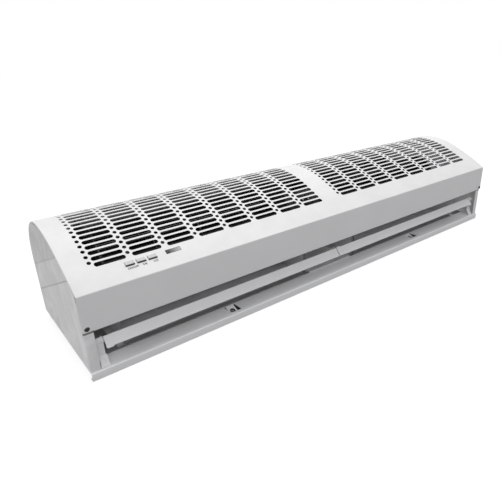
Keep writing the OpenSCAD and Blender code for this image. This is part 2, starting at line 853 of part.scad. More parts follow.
module motor_clamps() {
    ring_mid = motor_half + motor_boss_len / 2;
    strap_r = motor_boss_r + ring_wall + seat_clear;
    color("silver") both_ends() difference() {
        union() {
            bar(ring_mid - clamp_w / 2, ring_mid + clamp_w / 2, strap_r + clamp_wall);
            box(ring_mid - clamp_w / 2, ring_mid + cradle_ear_len, axis_u - cradle_half_u,
                axis_u + cradle_half_u, axis_z, axis_z + cradle_ear_t);
        }
        bar(0, ring_mid + cradle_ear_len + overrun, strap_r);
        box(0, 2 * ring_mid, axis_u - motor_r, axis_u + motor_r, axis_z - motor_r, axis_z);
        clamp_bolts(axis_z - overrun, cradle_ear_t + 2 * overrun, screw_r + seat_clear);
    }
}
module clamp_screws() {
    color("gray") both_ends() {
        clamp_bolts(axis_z - 2 * cradle_ear_t - overrun, 3 * cradle_ear_t + overrun, screw_r);
        clamp_bolts(axis_z + cradle_ear_t, bolt_head_h, bolt_head_r);
    }
}

// Electrics on a tray in the motor bay
tray_z = tongue_z + sheet_t;
module electrics_tray() {
    color("silver") {
        box(-bay_half, bay_half, tongue_front_u, tray_rear_u, tongue_z, tray_z);
        box(-bay_half, bay_half, tongue_front_u, tongue_front_u + sheet_t, tongue_z, tray_z + tray_flange);
    }
}
module capacitor() {
    color("white") {
        bar_at(cap_u, tray_z + cap_r, -cap_half, cap_half, cap_r);
        for (u = [-1, 1])
            box(cap_half, cap_half + cap_tab_h, cap_u + u * cap_tab_w - cap_tab_t / 2,
                cap_u + u * cap_tab_w + cap_tab_t / 2, tray_z + cap_r - cap_tab_w / 2,
                tray_z + cap_r + cap_tab_w / 2);
    }
}
module capacitor_clamp() {
    strap_r = cap_r + seat_clear + cap_clamp_t;
    color("silver") along_x(-cap_clamp_w / 2, cap_clamp_w / 2) difference() {
        translate([cap_u, tray_z]) {
            translate([0, cap_r]) circle(r = strap_r);
            translate([-strap_r, 0]) square([2 * strap_r, cap_r]);
            translate([-strap_r - cap_foot, 0]) square([2 * (strap_r + cap_foot), cap_clamp_t]);
        }
        translate([cap_u, tray_z]) {
            translate([0, cap_r]) circle(r = cap_r + seat_clear);
            translate([-cap_r - seat_clear, -cap_r]) square([2 * (cap_r + seat_clear), 2 * cap_r]);
        }
    }
}
module terminal_block() {
    way = 2 * block_half_x / block_ways;
    color("ivory") difference() {
        box(-block_half_x, block_half_x, block_u - block_half_u, block_u + block_half_u,
            tray_z, tray_z + block_h);
        for (i = [0 : block_ways - 1], u = [-1, 1])
            translate([(i + 0.5) * way - block_half_x, front_y + block_u + u * block_half_u / 2,
                tray_z + block_h / 2]) cylinder(h = block_h, r = block_hole_r);
    }
}

// Lead from the terminal block to the switch, and the clips that hold it under the cover
module lead_corner(x, u, z) {
    translate([x, front_y + u, z]) sphere(r = lead_r);
}
module switch_lead() {
    color("dimgray") {
        bar_at(block_u, lead_z, lead_x_turn, -block_half_x, lead_r);
        lead_corner(lead_x_turn, block_u, lead_z);
        translate([lead_x_turn, front_y + block_u, lead_z]) rotate([90, 0, 0])
            cylinder(h = block_u - lead_at[0], r = lead_r);
        lead_corner(lead_x_turn, lead_at[0], lead_z);
        translate([lead_x_turn, front_y + lead_at[0], lead_z]) cylinder(h = lead_at[1] - lead_z, r = lead_r);
        lead_corner(lead_x_turn, lead_at[0], lead_at[1]);
        bar_at(lead_at[0], lead_at[1], key_x0 + switch_w / 2, lead_x_turn, lead_r);
    }
}
module lead_clips() {
    color("black") for (x = clip_places) on_cover(x, keys_s - lead_back) difference() {
        union() {
            translate([-clip_w / 2, 0, -lead_drop]) rotate([0, 90, 0])
                cylinder(h = clip_w, r = lead_r + clip_wall);
            translate([-clip_w / 2, -clip_stem_w / 2, -lead_drop])
                cube([clip_w, clip_stem_w, lead_drop - sheet_t - air_gap]);
        }
        translate([-clip_w, 0, -lead_drop]) rotate([0, 90, 0])
            cylinder(h = 2 * clip_w, r = lead_r + seat_clear);
    }
}

// Three-way push switch under the cover
module switch_body() {
    top = -sheet_t - air_gap;
    color("dimgray") on_cover(key_x0, keys_s) difference() {
        union() {
            translate([-switch_w / 2 - switch_flange_w, -switch_len_half - switch_flange_w / 2,
                top - switch_flange_t])
                cube([switch_w + 2 * switch_flange_w, 2 * switch_len_half + switch_flange_w,
                    switch_flange_t]);
            translate([-switch_w / 2, -switch_len_half, -switch_depth])
                cube([switch_w, 2 * switch_len_half, switch_depth + top - switch_flange_t / 2]);
        }
        for (i = [-1 : 1]) translate([i * key_pitch, 0, 0]) {
            translate([-key_w / 2 - key_clear, -key_len / 2 - key_clear, top - well_depth])
                cube([key_w + 2 * key_clear, key_len + 2 * key_clear, well_depth + overrun]);
            translate([0, 0, top - well_depth - key_stem_len])
                cylinder(h = key_stem_len + overrun, r = key_stem_w / 2 + key_clear);
        }
    }
}
module key(i) {
    on_cover(key_x0 + i * key_pitch, keys_s) {
        translate([-key_w / 2, 0, 0]) rotate([90, 0, 90]) linear_extrude(height = key_w)
            polygon([[-key_len / 2, -key_skirt], [key_len / 2, -key_skirt],
                [key_len / 2, key_rear_rise], [-key_len / 2, key_rise]]);
        translate([0, 0, -key_skirt - key_stem_len + key_travel])
            cylinder(h = key_stem_len, r = key_stem_w / 2);
    }
}
module key_power() {
    color("white") key(-1);
}
module key_high() {
    color("white") key(0);
}
module key_low() {
    color("white") key(1);
}
module indicator_window() {
    flange_top = -sheet_t - air_gap;
    color("gray") on_cover(window_x0, keys_s) {
        translate([-window_w / 2, -window_h / 2, flange_top - window_flange_t / 2])
            cube([window_w, window_h, window_flange_t / 2 - flange_top - key_clear]);
        translate([-window_w / 2 - window_flange_w, -window_h / 2 - window_flange_w,
            flange_top - window_flange_t])
            cube([window_w + 2 * window_flange_w, window_h + 2 * window_flange_w, window_flange_t]);
    }
}
module indicator_board() {
    flange_low = -sheet_t - air_gap - window_flange_t;
    half_w = window_w / 2 + window_flange_w;
    half_h = window_h / 2 + window_flange_w;
    color("darkgreen") on_cover(window_x0, keys_s) {
        translate([-half_w, -half_h, flange_low - board_gap - board_t])
            cube([2 * half_w, 2 * half_h, board_t]);
        for (x = [-1, 1]) translate([x * (half_w - board_leg_w / 2) - board_leg_w / 2, -half_h,
            flange_low - board_gap]) cube([board_leg_w, 2 * half_h, board_gap]);
        translate([0, 0, flange_low - board_gap]) cylinder(h = led_h, r = led_r);
    }
}

// Vanes, their brackets, pins and washers
module strip_section(top) {
    foot_z = stand_off + bracket_t;
    rise_u = bracket_riser_u - bracket_front_u - bracket_foot;
    polygon(concat([[bracket_front_u, stand_off],
        [bracket_front_u + bracket_foot + bracket_t, stand_off],
        [bracket_riser_u + bracket_t, bracket_knee_z]],
        top,
        [[bracket_riser_u, bracket_knee_z + bracket_t / 3],
        [bracket_riser_u - rise_u, foot_z], [bracket_front_u, foot_z]]));
}
module vane_bracket() {
    notch_x = bracket_outer_x + bracket_w - bracket_notch_w;
    difference() {
        union() {
            along_x(bracket_outer_x, bracket_outer_x + bracket_w) strip_section([
                [bracket_riser_u + bracket_t, bracket_shoulder_z],
                [bracket_top_u + bracket_t, bracket_top_z], [bracket_top_u, bracket_top_z],
                [bracket_riser_u, bracket_shoulder_z]]);
            bracket_ear(bracket_outer_x);
        }
        pivot_hole(bracket_outer_x);
        box(notch_x, notch_x + bracket_w, -overrun, bracket_riser_u + 2 * bracket_t, stand_off - overrun,
            stand_off + bracket_notch_h);
        translate([bracket_outer_x + bracket_w / 2, front_y + bracket_front_u, bracket_dimple_z])
            rotate([-90, 0, 0])
                cylinder(h = dimple_u - bracket_front_u + bracket_dimple_depth, r = bracket_dimple_r);
    }
}
dimple_u = bracket_front_u + bracket_foot + (bracket_dimple_z - stand_off - bracket_t)
    * (bracket_riser_u - bracket_front_u - bracket_foot) / (bracket_knee_z - stand_off - bracket_t);
module bracket_ear(x) {
    box(x, x + bracket_ear_t, bracket_riser_u, bracket_ear_rear_u, bracket_ear_low_z, bracket_top_z
        - bracket_t);
}
module pivot_hole(x) {
    bar_at(pivot_u, pivot_z, x - overrun, x + bracket_ear_t + overrun, pin_r + run_clear);
}
module vane_bracket_left() {
    color("lightgray") mirror([1, 0, 0]) vane_bracket();
}
module vane_bracket_right() {
    color("lightgray") vane_bracket();
}
module vane_place() {
    translate([pivot_u, pivot_z]) rotate(vane_tilt) children();
}
module centre_cheek() {
    base_z = stand_off + cradle_t;
    polygon([[bracket_riser_u, bracket_ear_low_z], [bracket_riser_u, bracket_top_z - bracket_t],
        [bracket_ear_rear_u, bracket_top_z - bracket_t], [centre_web_u + bracket_t, centre_web_z],
        [centre_web_u + bracket_t, base_z], [centre_web_u - centre_cheek_in, base_z],
        [centre_web_u - centre_cheek_in, centre_cheek_z]]);
}
module vane_bracket_centre() {
    face_b = pivot_back + centre_face_out;
    base_z = stand_off + cradle_t;
    color("lightgray") difference() {
        union() {
            along_x(-centre_half, centre_half) vane_place()
                translate([-vane_arm, face_b - bracket_t]) square([vane_w, bracket_t]);
            for (x = [-centre_half, centre_half - bracket_ear_t]) along_x(x, x + bracket_ear_t) centre_cheek();
            box(-centre_half, centre_half, centre_web_u, centre_web_u + bracket_t, base_z, centre_web_z);
            box(-centre_half, centre_half, centre_web_u, centre_web_u + centre_foot, base_z,
                base_z + bracket_t);
        }
        for (x = [-centre_half, centre_half - bracket_ear_t]) pivot_hole(x);
    }
}
module vane() {
    along_x(vane_inner_x, vane_outer_x) vane_place() {
        translate([-vane_arm, pivot_back - vane_t]) square([vane_w, vane_t]);
        translate([vane_roll_r - vane_arm, pivot_back - vane_roll_r]) circle(r = vane_roll_r);
    }
    for (x = [vane_inner_x, vane_outer_x - vane_ear_t]) difference() {
        along_x(x, x + vane_ear_t) vane_place() {
            circle(r = vane_ear_r);
            translate([-vane_ear_r, 0]) square([vane_ear_r + pivot_down, pivot_back - vane_t / 2]);
        }
        bar_at(pivot_u, pivot_z, x - overrun, x + vane_ear_t + overrun, pin_r + seat_clear);
    }
}
module vane_left() {
    color("lightgray") mirror([1, 0, 0]) vane();
}
module vane_right() {
    color("lightgray") vane();
}
module vane_pins() {
    bar_at(pivot_u, pivot_z, centre_half - bracket_ear_t, vane_inner_x + vane_ear_t + pin_head_h, pin_r);
    bar_at(pivot_u, pivot_z, vane_inner_x + vane_ear_t, vane_inner_x + vane_ear_t + pin_head_h,
        pin_head_r);
    bar_at(pivot_u, pivot_z, vane_outer_x - vane_ear_t - pin_head_h, bracket_outer_x + bracket_ear_t, pin_r);
    bar_at(pivot_u, pivot_z, vane_outer_x - vane_ear_t - pin_head_h, vane_outer_x - vane_ear_t,
        pin_head_r);
}
module vane_left_pins() {
    color("gray") mirror([1, 0, 0]) vane_pins();
}
module vane_right_pins() {
    color("gray") vane_pins();
}
module vane_washers() {
    slack = vane_side_gap / 8;
    color("white") both_ends() for (x = [centre_half, vane_outer_x])
        pipe_at(pivot_u, pivot_z, x + slack, x + vane_side_gap - slack, washer_r, pin_r + run_clear);
}

// Rubber grommet for the supply cable, in the floor
module cable_grommet() {
    color("black") translate([half_len - grommet_from_end, front_y + grommet_u, 0]) difference() {
        union() {
            translate([0, 0, stand_off - sheet_t - grommet_out]) cylinder(h = grommet_out, r = grommet_r);
            translate([0, 0, stand_off]) cylinder(h = grommet_out, r = grommet_r);
            translate([0, 0, stand_off - sheet_t - grommet_out / 2])
                cylinder(h = sheet_t + grommet_out, r = grommet_seat_r);
        }
        translate([0, 0, stand_off - sheet_t - grommet_out - overrun])
            cylinder(h = sheet_t + 2 * (grommet_out + overrun), r = grommet_bore_r);
    }
}

front_cover();
cover_screws();
base_pan();
end_plate_left();
end_plate_right();
wall_plate();
bulkhead_left();
bulkhead_right();
bearing_plate_left();
bearing_plate_right();
tongue_left();
tongue_right();
scroll_left();
scroll_right();
impeller_left();
impeller_right();
coupling_left();
coupling_right();
coupling_screws();
stub_shafts();
end_bearings();
bearing_bushes();
motor_case_left();
motor_case_right();
motor_bolts();
stator_core();
stator_windings();
motor_rotor();
motor_shaft();
motor_bearings();
motor_rings();
motor_cradle();
motor_clamps();
clamp_screws();
electrics_tray();
capacitor();
capacitor_clamp();
terminal_block();
switch_lead();
lead_clips();
switch_body();
key_power();
key_high();
key_low();
indicator_window();
indicator_board();
vane_bracket_left();
vane_bracket_right();
vane_bracket_centre();
vane_left();
vane_right();
vane_left_pins();
vane_right_pins();
vane_washers();
cable_grommet();
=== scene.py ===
import math

import bmesh
import bpy
from mathutils import Matrix, Vector


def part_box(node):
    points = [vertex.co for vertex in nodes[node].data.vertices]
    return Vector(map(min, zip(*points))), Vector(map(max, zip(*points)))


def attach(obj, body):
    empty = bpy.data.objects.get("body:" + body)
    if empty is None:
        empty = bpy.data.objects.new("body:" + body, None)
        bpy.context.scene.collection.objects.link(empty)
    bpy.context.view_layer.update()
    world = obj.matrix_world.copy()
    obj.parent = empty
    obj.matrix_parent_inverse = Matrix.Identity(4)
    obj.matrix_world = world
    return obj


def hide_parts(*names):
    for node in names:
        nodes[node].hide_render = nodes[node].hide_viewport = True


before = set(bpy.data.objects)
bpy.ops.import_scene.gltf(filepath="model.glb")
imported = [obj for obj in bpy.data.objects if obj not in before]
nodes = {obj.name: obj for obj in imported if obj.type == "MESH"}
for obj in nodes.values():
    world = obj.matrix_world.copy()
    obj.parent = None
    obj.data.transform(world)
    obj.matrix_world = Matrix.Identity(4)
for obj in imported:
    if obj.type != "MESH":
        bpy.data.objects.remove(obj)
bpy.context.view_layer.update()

scene = bpy.context.scene
mm = 0.001
print("frame loaded:", len(nodes), "nodes")

# sizes that several pieces share, in millimetres
case = {
    "halfLength": 450.0,
    "frontY": -104.9,        # the front face
    "depth": 212.0,
    "frontTop": 119.0,
    "outletTop": 69.0,
    "standOff": 12.0,        # the floor's upper face
    "sheet": 1.2,
    "slopeLength": 15.0, "slopeAngle": 31.5,
    "browRadius": 500.0, "browEnd": 23.0,
    "crownRadius": 170.0, "crownEnd": 3.0,
    "endFlange": 12.7,
}


# shader helpers

def grey(level, blue=None):
    return (level, level, level if blue is None else blue)


def feed(tree, socket, value):
    if isinstance(value, bpy.types.NodeSocket):
        tree.links.new(value, socket)
    else:
        socket.default_value = value


def addNode(tree, kind, inputs=None, **settings):
    node = tree.nodes.new("ShaderNode" + kind)
    for key, value in settings.items():
        setattr(node, key, value)
    for key, value in (inputs or {}).items():
        feed(tree, node.inputs[key], value)
    return node


def newTree(name):
    material = bpy.data.materials.new(name)
    material.use_nodes = True
    tree = material.node_tree
    tree.nodes.clear()
    return material, tree, addNode(tree, "TexCoord").outputs["Object"]


def mathNode(tree, operation, *values, clamp=False):
    return addNode(tree, "Math", dict(enumerate(values)), operation=operation, use_clamp=clamp).outputs[0]


def times(tree, a, b):
    return mathNode(tree, "MULTIPLY", a, b)


def timesPlus(tree, a, b, c, clamp=False):
    return mathNode(tree, "MULTIPLY_ADD", a, b, c, clamp=clamp)


def blend(tree, factor, a, b):
    node = addNode(tree, "Mix", data_type="RGBA")
    for key, value in ((0, factor), (6, a), (7, b)):
        feed(tree, node.inputs[key], (*value, 1.0) if isinstance(value, tuple) else value)
    return node.outputs[2]


def ramp(tree, source, stops):
    node = addNode(tree, "ValToRGB", {0: source})
    while len(node.color_ramp.elements) < len(stops):
        node.color_ramp.elements.new(0.5)
    for element, (place, value) in zip(node.color_ramp.elements, stops):
        element.position = place
        element.color = (*grey(value), 1.0)
    return node.outputs[0]


def noise(tree, place, scale, detail, roughness=0.5, distortion=0.0):
    return addNode(tree, "TexNoise", {"Vector": place, "Scale": scale, "Detail": detail,
                                      "Roughness": roughness, "Distortion": distortion}).outputs[0]


def remap(tree, value, low, high, start=0.0, end=1.0):
    return addNode(tree, "MapRange", {"Value": value, "From Min": low, "From Max": high,
                                      "To Min": start, "To Max": end}).outputs[0]


def axes(tree, vector):
    return addNode(tree, "SeparateXYZ", {"Vector": vector}).outputs


def upward(tree):
    return axes(tree, addNode(tree, "NewGeometry").outputs["Normal"])[2]


def facesUp(tree):
    return mathNode(tree, "GREATER_THAN", upward(tree), 0.5)


def finish(material, tree, base, gloss, relief, fixed):
    shader = addNode(tree, "BsdfPrincipled", {"Base Color": base, "Roughness": gloss, **fixed})
    if relief:
        height, strength, distance = relief
        bump = addNode(tree, "Bump", {"Strength": strength, "Distance": distance, "Height": height})
        tree.links.new(bump.outputs[0], shader.inputs["Normal"])
    addNode(tree, "OutputMaterial", {0: shader.outputs[0]})
    return material


# node groups: one effect each, fed with a place and named sizes

def newGroup(name, sizes, outputs):
    tree = bpy.data.node_groups.new(name, "ShaderNodeTree")
    tree.interface.new_socket(name="Vector", in_out="INPUT", socket_type="NodeSocketVector")
    for label, value in sizes.items():
        socket = tree.interface.new_socket(name=label, in_out="INPUT", socket_type="NodeSocketFloat")
        socket.default_value = value
    for label in outputs:
        tree.interface.new_socket(name=label, in_out="OUTPUT", socket_type="NodeSocketFloat")
    start = tree.nodes.new("NodeGroupInput").outputs
    return tree, [start[i] for i in range(len(sizes) + 1)]


def closeGroup(tree, *values):
    end = tree.nodes.new("NodeGroupOutput")
    for socket, value in zip(end.inputs, values):
        tree.links.new(value, socket)
    return tree


def placeGroup(tree, group, *inputs):
    node = addNode(tree, "Group", node_tree=group)
    for socket, value in zip(node.inputs, inputs):
        feed(tree, socket, value)
    return node.outputs


def makeCoatGrain():
    # the fine orange peel of a baked powder coat, with slow changes of tone
    tree, (place, grain, mottle) = newGroup("powderCoatGrain", {"Grain": 900.0, "Mottle": 14.0},
                                            ("Height", "Tone"))
    return closeGroup(tree, noise(tree, place, grain, 2.0, 0.45), noise(tree, place, mottle, 4.0, 0.55))


def makeSheetScratches():
    # short fine scratches, in two directions
    tree, (place, scale) = newGroup("fineScratches", {"Scale": 60.0}, ("Mask",))
    masks = []
    for turn, stretch in ((0.35, 26.0), (-0.9, 34.0)):
        turned = addNode(tree, "Mapping", {"Vector": place, "Rotation": (0.2, 0.1, turn),
                                           "Scale": (1.0, stretch, stretch)})
        line = noise(tree, turned.outputs[0], scale, 1.0)
        masks.append(ramp(tree, line, [(0.0, 0.0), (0.68, 0.0), (0.74, 1.0)]))
    return closeGroup(tree, mathNode(tree, "MAXIMUM", *masks))


def makeSettledDust():
    # dust that lies thinly on upward faces
    tree, (place, scale) = newGroup("settledDust", {"Scale": 40.0}, ("Mask",))
    up = timesPlus(tree, upward(tree), 1.4, -0.4, clamp=True)
    patch = ramp(tree, noise(tree, place, scale, 5.0, 0.62), [(0.42, 0.0), (0.72, 1.0)])
    return closeGroup(tree, times(tree, up, patch))


def makeRolledGrain():
    # long lines left by rolling, along X
    tree, (place, scale) = newGroup("rolledGrain", {"Scale": 120.0}, ("Height", "Tone"))
    drawn = addNode(tree, "Mapping", {"Vector": place, "Scale": (0.04, 1.0, 1.0)})
    return closeGroup(tree, noise(tree, drawn.outputs[0], scale, 6.0, 0.7), noise(tree, place, 30.0, 3.0))


def makeMouldGrain():
    # the matt grain of a moulded plastic or rubber face
    tree, (place, scale) = newGroup("mouldGrain", {"Scale": 1400.0}, ("Height", "Tone"))
    cells = addNode(tree, "TexVoronoi", {"Vector": place, "Scale": scale}, feature="SMOOTH_F1")
    return closeGroup(tree, cells.outputs["Distance"], noise(tree, place, 70.0, 3.0))


coatGrain = makeCoatGrain()
fineScratches = makeSheetScratches()
settledDust = makeSettledDust()
rolledGrain = makeRolledGrain()
mouldGrain = makeMouldGrain()


# materials

coatRelief = 0.00012         # how deep a coat's bump goes, in metres
fineRelief = 0.0001
softTone = [(0.3, 0.0), (0.7, 1.0)]
peelSize, mottleSize = 1100.0, 11.0
scratchSize, dustSize = 24.0, 34.0
zincSize = 160.0             # the scale of the rolled grain on sheets
# the near-black colour of painted shade inside the case
paintedShadeColour = grey(0.03, 0.031)


def paintedSheet(name, colour, low, roughness=0.42, dust=0.25, bump=0.12, shadeBehind=None, foldX=None,
                 paleUnder=False):
    material, tree, place = newTree(name)
    height, tone = placeGroup(tree, coatGrain, place, peelSize, mottleSize)
    dirt = placeGroup(tree, settledDust, place, dustSize)[0]
    marks = placeGroup(tree, fineScratches, place, scratchSize)[0]
    base = blend(tree, ramp(tree, tone, softTone), low, colour)
    base = blend(tree, times(tree, dirt, dust), base, (0.66, 0.64, 0.6))
    base = blend(tree, times(tree, marks, 0.05), base, grey(0.5))
    if shadeBehind is not None:
        # upward faces behind the line get painted shade, standing in for the shadow deep under the vanes
        behind = remap(tree, axes(tree, place)[1], shadeBehind, shadeBehind + 0.002)
        paintedShadeMask = times(tree, behind, facesUp(tree))
        base = blend(tree, paintedShadeMask, base, grey(0.25, 0.252))
    if foldX is not None:
        # the outside of the right end's fold stays in its own shade
        base = blend(tree, mathNode(tree, "GREATER_THAN", axes(tree, place)[0], foldX), base, grey(0.34))
    if paleUnder:
        # the face over the outlet is left bare and throws the light back on the floor
        base = blend(tree, mathNode(tree, "LESS_THAN", upward(tree), -0.5), base, grey(0.9))
    gloss = timesPlus(tree, dirt, 0.12, timesPlus(tree, tone, 0.14, roughness - 0.07))
    return finish(material, tree, base, gloss, (height, bump, coatRelief), {"IOR": 1.47})


def zincSheet(name, colour, low):
    # the flowers of a zinc coat
    material, tree, place = newTree(name)
    height, tone = placeGroup(tree, rolledGrain, place, zincSize)
    marks = placeGroup(tree, fineScratches, place, 30.0)[0]
    flower = addNode(tree, "TexVoronoi", {"Vector": place, "Scale": 90.0})
    split = addNode(tree, "SeparateColor", {"Color": flower.outputs["Color"]})
    tone = timesPlus(tree, split.outputs[0], 0.5, times(tree, tone, 0.5))
    base = blend(tree, times(tree, marks, 0.3), blend(tree, tone, low, colour), grey(0.8))
    return finish(material, tree, base, timesPlus(tree, tone, 0.2, 0.3), (height, 0.08, fineRelief),
                  {"Metallic": 0.85})


def guideSheet(name, shades, heights):
    # dull zinc sheet low down behind the outlet, with painted shade further in and higher up, where the
    # inside of the case lies in shadow
    material, tree, place = newTree(name)
    height, tone = placeGroup(tree, rolledGrain, place, zincSize)
    sides = axes(tree, place)
    inwards = remap(tree, timesPlus(tree, tone, 0.006, sides[1]), -0.08, 0.04)
    # how much stays bare zinc; the rest takes painted shade
    low = times(tree, ramp(tree, inwards, shades), remap(tree, sides[2], *heights, 1.0, 0.0))
    bare = blend(tree, tone, grey(0.8, 0.81), grey(0.92, 0.93))
    return finish(material, tree, blend(tree, low, paintedShadeColour, bare), timesPlus(tree, tone, 0.2, 0.4),
                  (height, 0.08, fineRelief), {"Specular IOR Level": 0.2})


def innerSheet(name, heights, endX):
    # the cover's inner faces and cut edges: painted shade low down, pale coat under the crest and near the
    # right end
    material, tree, place = newTree(name)
    height, tone = placeGroup(tree, coatGrain, place, peelSize, mottleSize)
    sides = axes(tree, place)
    pale = mathNode(tree, "MAXIMUM", remap(tree, sides[2], *heights),
                    mathNode(tree, "GREATER_THAN", sides[0], endX))
    base = blend(tree, pale, paintedShadeColour, blend(tree, tone, grey(0.74), grey(0.86)))
    return finish(material, tree, base, timesPlus(tree, tone, 0.14, 0.53), (height, 0.12, coatRelief),
                  {"IOR": 1.47})


def wallPlate(name, litSpots, radius):
    # zinc, with painted shade on the upper face but for a painted pool of light behind each screw hole
    material, tree, place = newTree(name)
    height, tone = placeGroup(tree, rolledGrain, place, zincSize)
    flat = addNode(tree, "VectorMath", {0: place, 1: (1.0, 1.0, 0.0)}, operation="MULTIPLY").outputs[0]
    reach = mathNode(tree, "MINIMUM", *(
        addNode(tree, "VectorMath", {0: flat, 1: (x, y, 0.0)}, operation="DISTANCE").outputs["Value"]
        for x, y in litSpots))
    near = remap(tree, reach, radius * 0.8, radius * 1.3, 1.0, 0.0)
    # painted light round each screw hole's spot, painted shade over the rest of the upper face
    upper = blend(tree, near, blend(tree, tone, grey(0.02, 0.021), grey(0.04, 0.042)), grey(0.95))
    bare = blend(tree, tone, grey(0.6, 0.61), grey(0.78, 0.8))
    base = blend(tree, facesUp(tree), bare, upper)
    return finish(material, tree, base, timesPlus(tree, tone, 0.2, 0.5), (height, 0.08, fineRelief),
                  {"Specular IOR Level": 0.2})


def screwWithPaintedGlint(name, x, z, radius):
    # black steel with a painted highlight round the upper rim of the head, broken up by noise
    material, tree, place = newTree(name)
    sides = axes(tree, place)
    across = mathNode(tree, "SUBTRACT", mathNode(tree, "ABSOLUTE", sides[0]), x)
    along = mathNode(tree, "SUBTRACT", sides[2], z)
    reach = mathNode(tree, "SQRT", timesPlus(tree, across, across, times(tree, along, along)))
    wear = noise(tree, place, 420.0, 3.0)
    # the painted highlight: a ring just inside the rim, on the head's upper side
    bare = times(tree, remap(tree, reach, radius * 0.86, radius * 0.95),
                 remap(tree, along, radius * 0.1, radius * 0.5))
    bare = times(tree, bare, ramp(tree, wear, [(0.3, 0.5), (0.55, 1.0)]))
    base = blend(tree, bare, grey(0.018, 0.019), grey(0.75, 0.76))
    return finish(material, tree, base, timesPlus(tree, wear, 0.2, 0.32), (wear, 0.1, fineRelief),
                  {"Metallic": 0.3})


def groundSteel(name, colour, low):
    material, tree, place = newTree(name)
    turned = addNode(tree, "Mapping", {"Vector": place, "Scale": (30.0, 1.0, 1.0)})
    lines = noise(tree, turned.outputs[0], 60.0, 4.0)
    tone = placeGroup(tree, rolledGrain, place, 200.0)[1]
    base = blend(tree, ramp(tree, tone, softTone), low, colour)
    return finish(material, tree, base, timesPlus(tree, lines, 0.25, 0.18), (lines, 0.1, 0.00008),
                  {"Metallic": 1.0})


def mouldedPiece(name, colour, low, roughness=0.5, bump=0.15, grainScale=1400.0, dust=0.2):
    material, tree, place = newTree(name)
    height, tone = placeGroup(tree, mouldGrain, place, grainScale)
    dirt = placeGroup(tree, settledDust, place, 50.0)[0]
    base = blend(tree, ramp(tree, tone, softTone), low, colour)
    base = blend(tree, times(tree, dirt, dust), base, (0.42, 0.4, 0.38))
    return finish(material, tree, base, timesPlus(tree, tone, 0.2, roughness - 0.1),
                  (height, bump, fineRelief), {"IOR": 1.48})


def wave(tree, place, scale, distortion, **more):
    return addNode(tree, "TexWave", {"Vector": place, "Scale": scale, "Distortion": distortion, **more},
                   wave_type="BANDS", bands_direction="X").outputs["Fac"]


def woundCopper(name):
    # varnished wire, wound round the motor's axis
    material, tree, place = newTree(name)
    wires = wave(tree, place, 320.0, 3.0, **{"Detail": 2.0, "Detail Scale": 2.0})
    lines = ramp(tree, wires, [(0.1, 0.0), (0.6, 1.0)])
    base = blend(tree, lines, (0.2, 0.07, 0.03), (0.66, 0.3, 0.13))
    return finish(material, tree, base, timesPlus(tree, lines, -0.2, 0.5), (lines, 0.6, 0.0004),
                  {"Metallic": 0.4, "Coat Weight": 0.4})


def stackedSheets(name):
    # core sheets stacked along the shaft
    material, tree, place = newTree(name)
    stain = noise(tree, place, 60.0, 5.0)
    base = blend(tree, stain, grey(0.1, 0.11), grey(0.34, 0.36))
    return finish(material, tree, base, timesPlus(tree, stain, 0.3, 0.3),
                  (wave(tree, place, 620.0, 0.3), 0.4, 0.0002), {"Metallic": 0.9})


def smokedWindow(name, left, right):
    # dark at its left end, fading to pale grey at its right
    material, tree, place = newTree(name)
    across = remap(tree, axes(tree, place)[0], left, right)
    fade = ramp(tree, across, [(0.0, 0.03), (0.22, 0.05), (0.5, 0.2), (0.75, 0.32), (1.0, 0.5)])
    haze = noise(tree, place, 420.0, 2.0)
    cloud = ramp(tree, haze, [(0.42, 0.0), (0.62, 1.0)])
    base = blend(tree, times(tree, cloud, timesPlus(tree, across, 0.3, 0.06)), fade, grey(0.6, 0.62))
    return finish(material, tree, base, timesPlus(tree, haze, 0.1, 0.22), (haze, 0.03, fineRelief),
                  {"Specular IOR Level": 0.15})


def printedInk(name):
    material, tree, place = newTree(name)
    wear = noise(tree, place, 900.0, 4.0)
    base = blend(tree, wear, grey(0.03, 0.033), grey(0.09, 0.095))
    return finish(material, tree, base, timesPlus(tree, wear, 0.3, 0.35), None, {})


# a near-black coat: painted shade on the upper faces of the outlet tongues and the tray, and on the motor
# cases their dark enamel together with painted shade
dark = {"colour": grey(0.035, 0.038), "low": grey(0.022, 0.024), "roughness": 0.7, "dust": 0.12, "bump": 0.3}
keyGrain = {"bump": 0.06, "grainScale": 2200.0, "dust": 0.1}
white = paintedSheet("whitePowderCoat", grey(0.83, 0.825), grey(0.79, 0.785))
coverWhite = paintedSheet("coverPowderCoat", grey(0.83, 0.825), grey(0.79, 0.785), foldX=0.4491)
# the floor carries painted shade on its upward faces deep behind the outlet
whiteInside = paintedSheet("floorPowderCoat", grey(0.95), grey(0.92, 0.915), dust=0.06, shadeBehind=-0.0765)
rampWhite = paintedSheet("rampPowderCoat", grey(0.95), grey(0.93), roughness=0.3, dust=0.0)
vaneWhite = paintedSheet("vanePowderCoat", grey(0.87), grey(0.83), dust=0.2)
zinc = zincSheet("zincCoatedSheet", (0.62, 0.63, 0.64), (0.42, 0.43, 0.45))
darkCoatAndShade = paintedSheet("darkGuideCoatAndShade", **dark)
roofShadeAndBareUnder = paintedSheet("outletRoofShadeAndBareUnder", **dark, paleUnder=True)
fanPlastic = mouldedPiece("fanPlastic", (0.03, 0.031, 0.034), grey(0.018, 0.02), dust=0.15)
rubber = mouldedPiece("blackRubber", grey(0.03), grey(0.018), roughness=0.75, bump=0.3, grainScale=900.0)
# painted shade on the cover's inner faces below the crest, and on the cut edges of the lower rows
innerCoatAndShade = innerSheet("innerGreyCoatAndShade", (0.122, 0.142), 0.385)
rimCoatAndShade = innerSheet("cutEdgeCoatAndShade", (0.164, 0.172), 0.365)
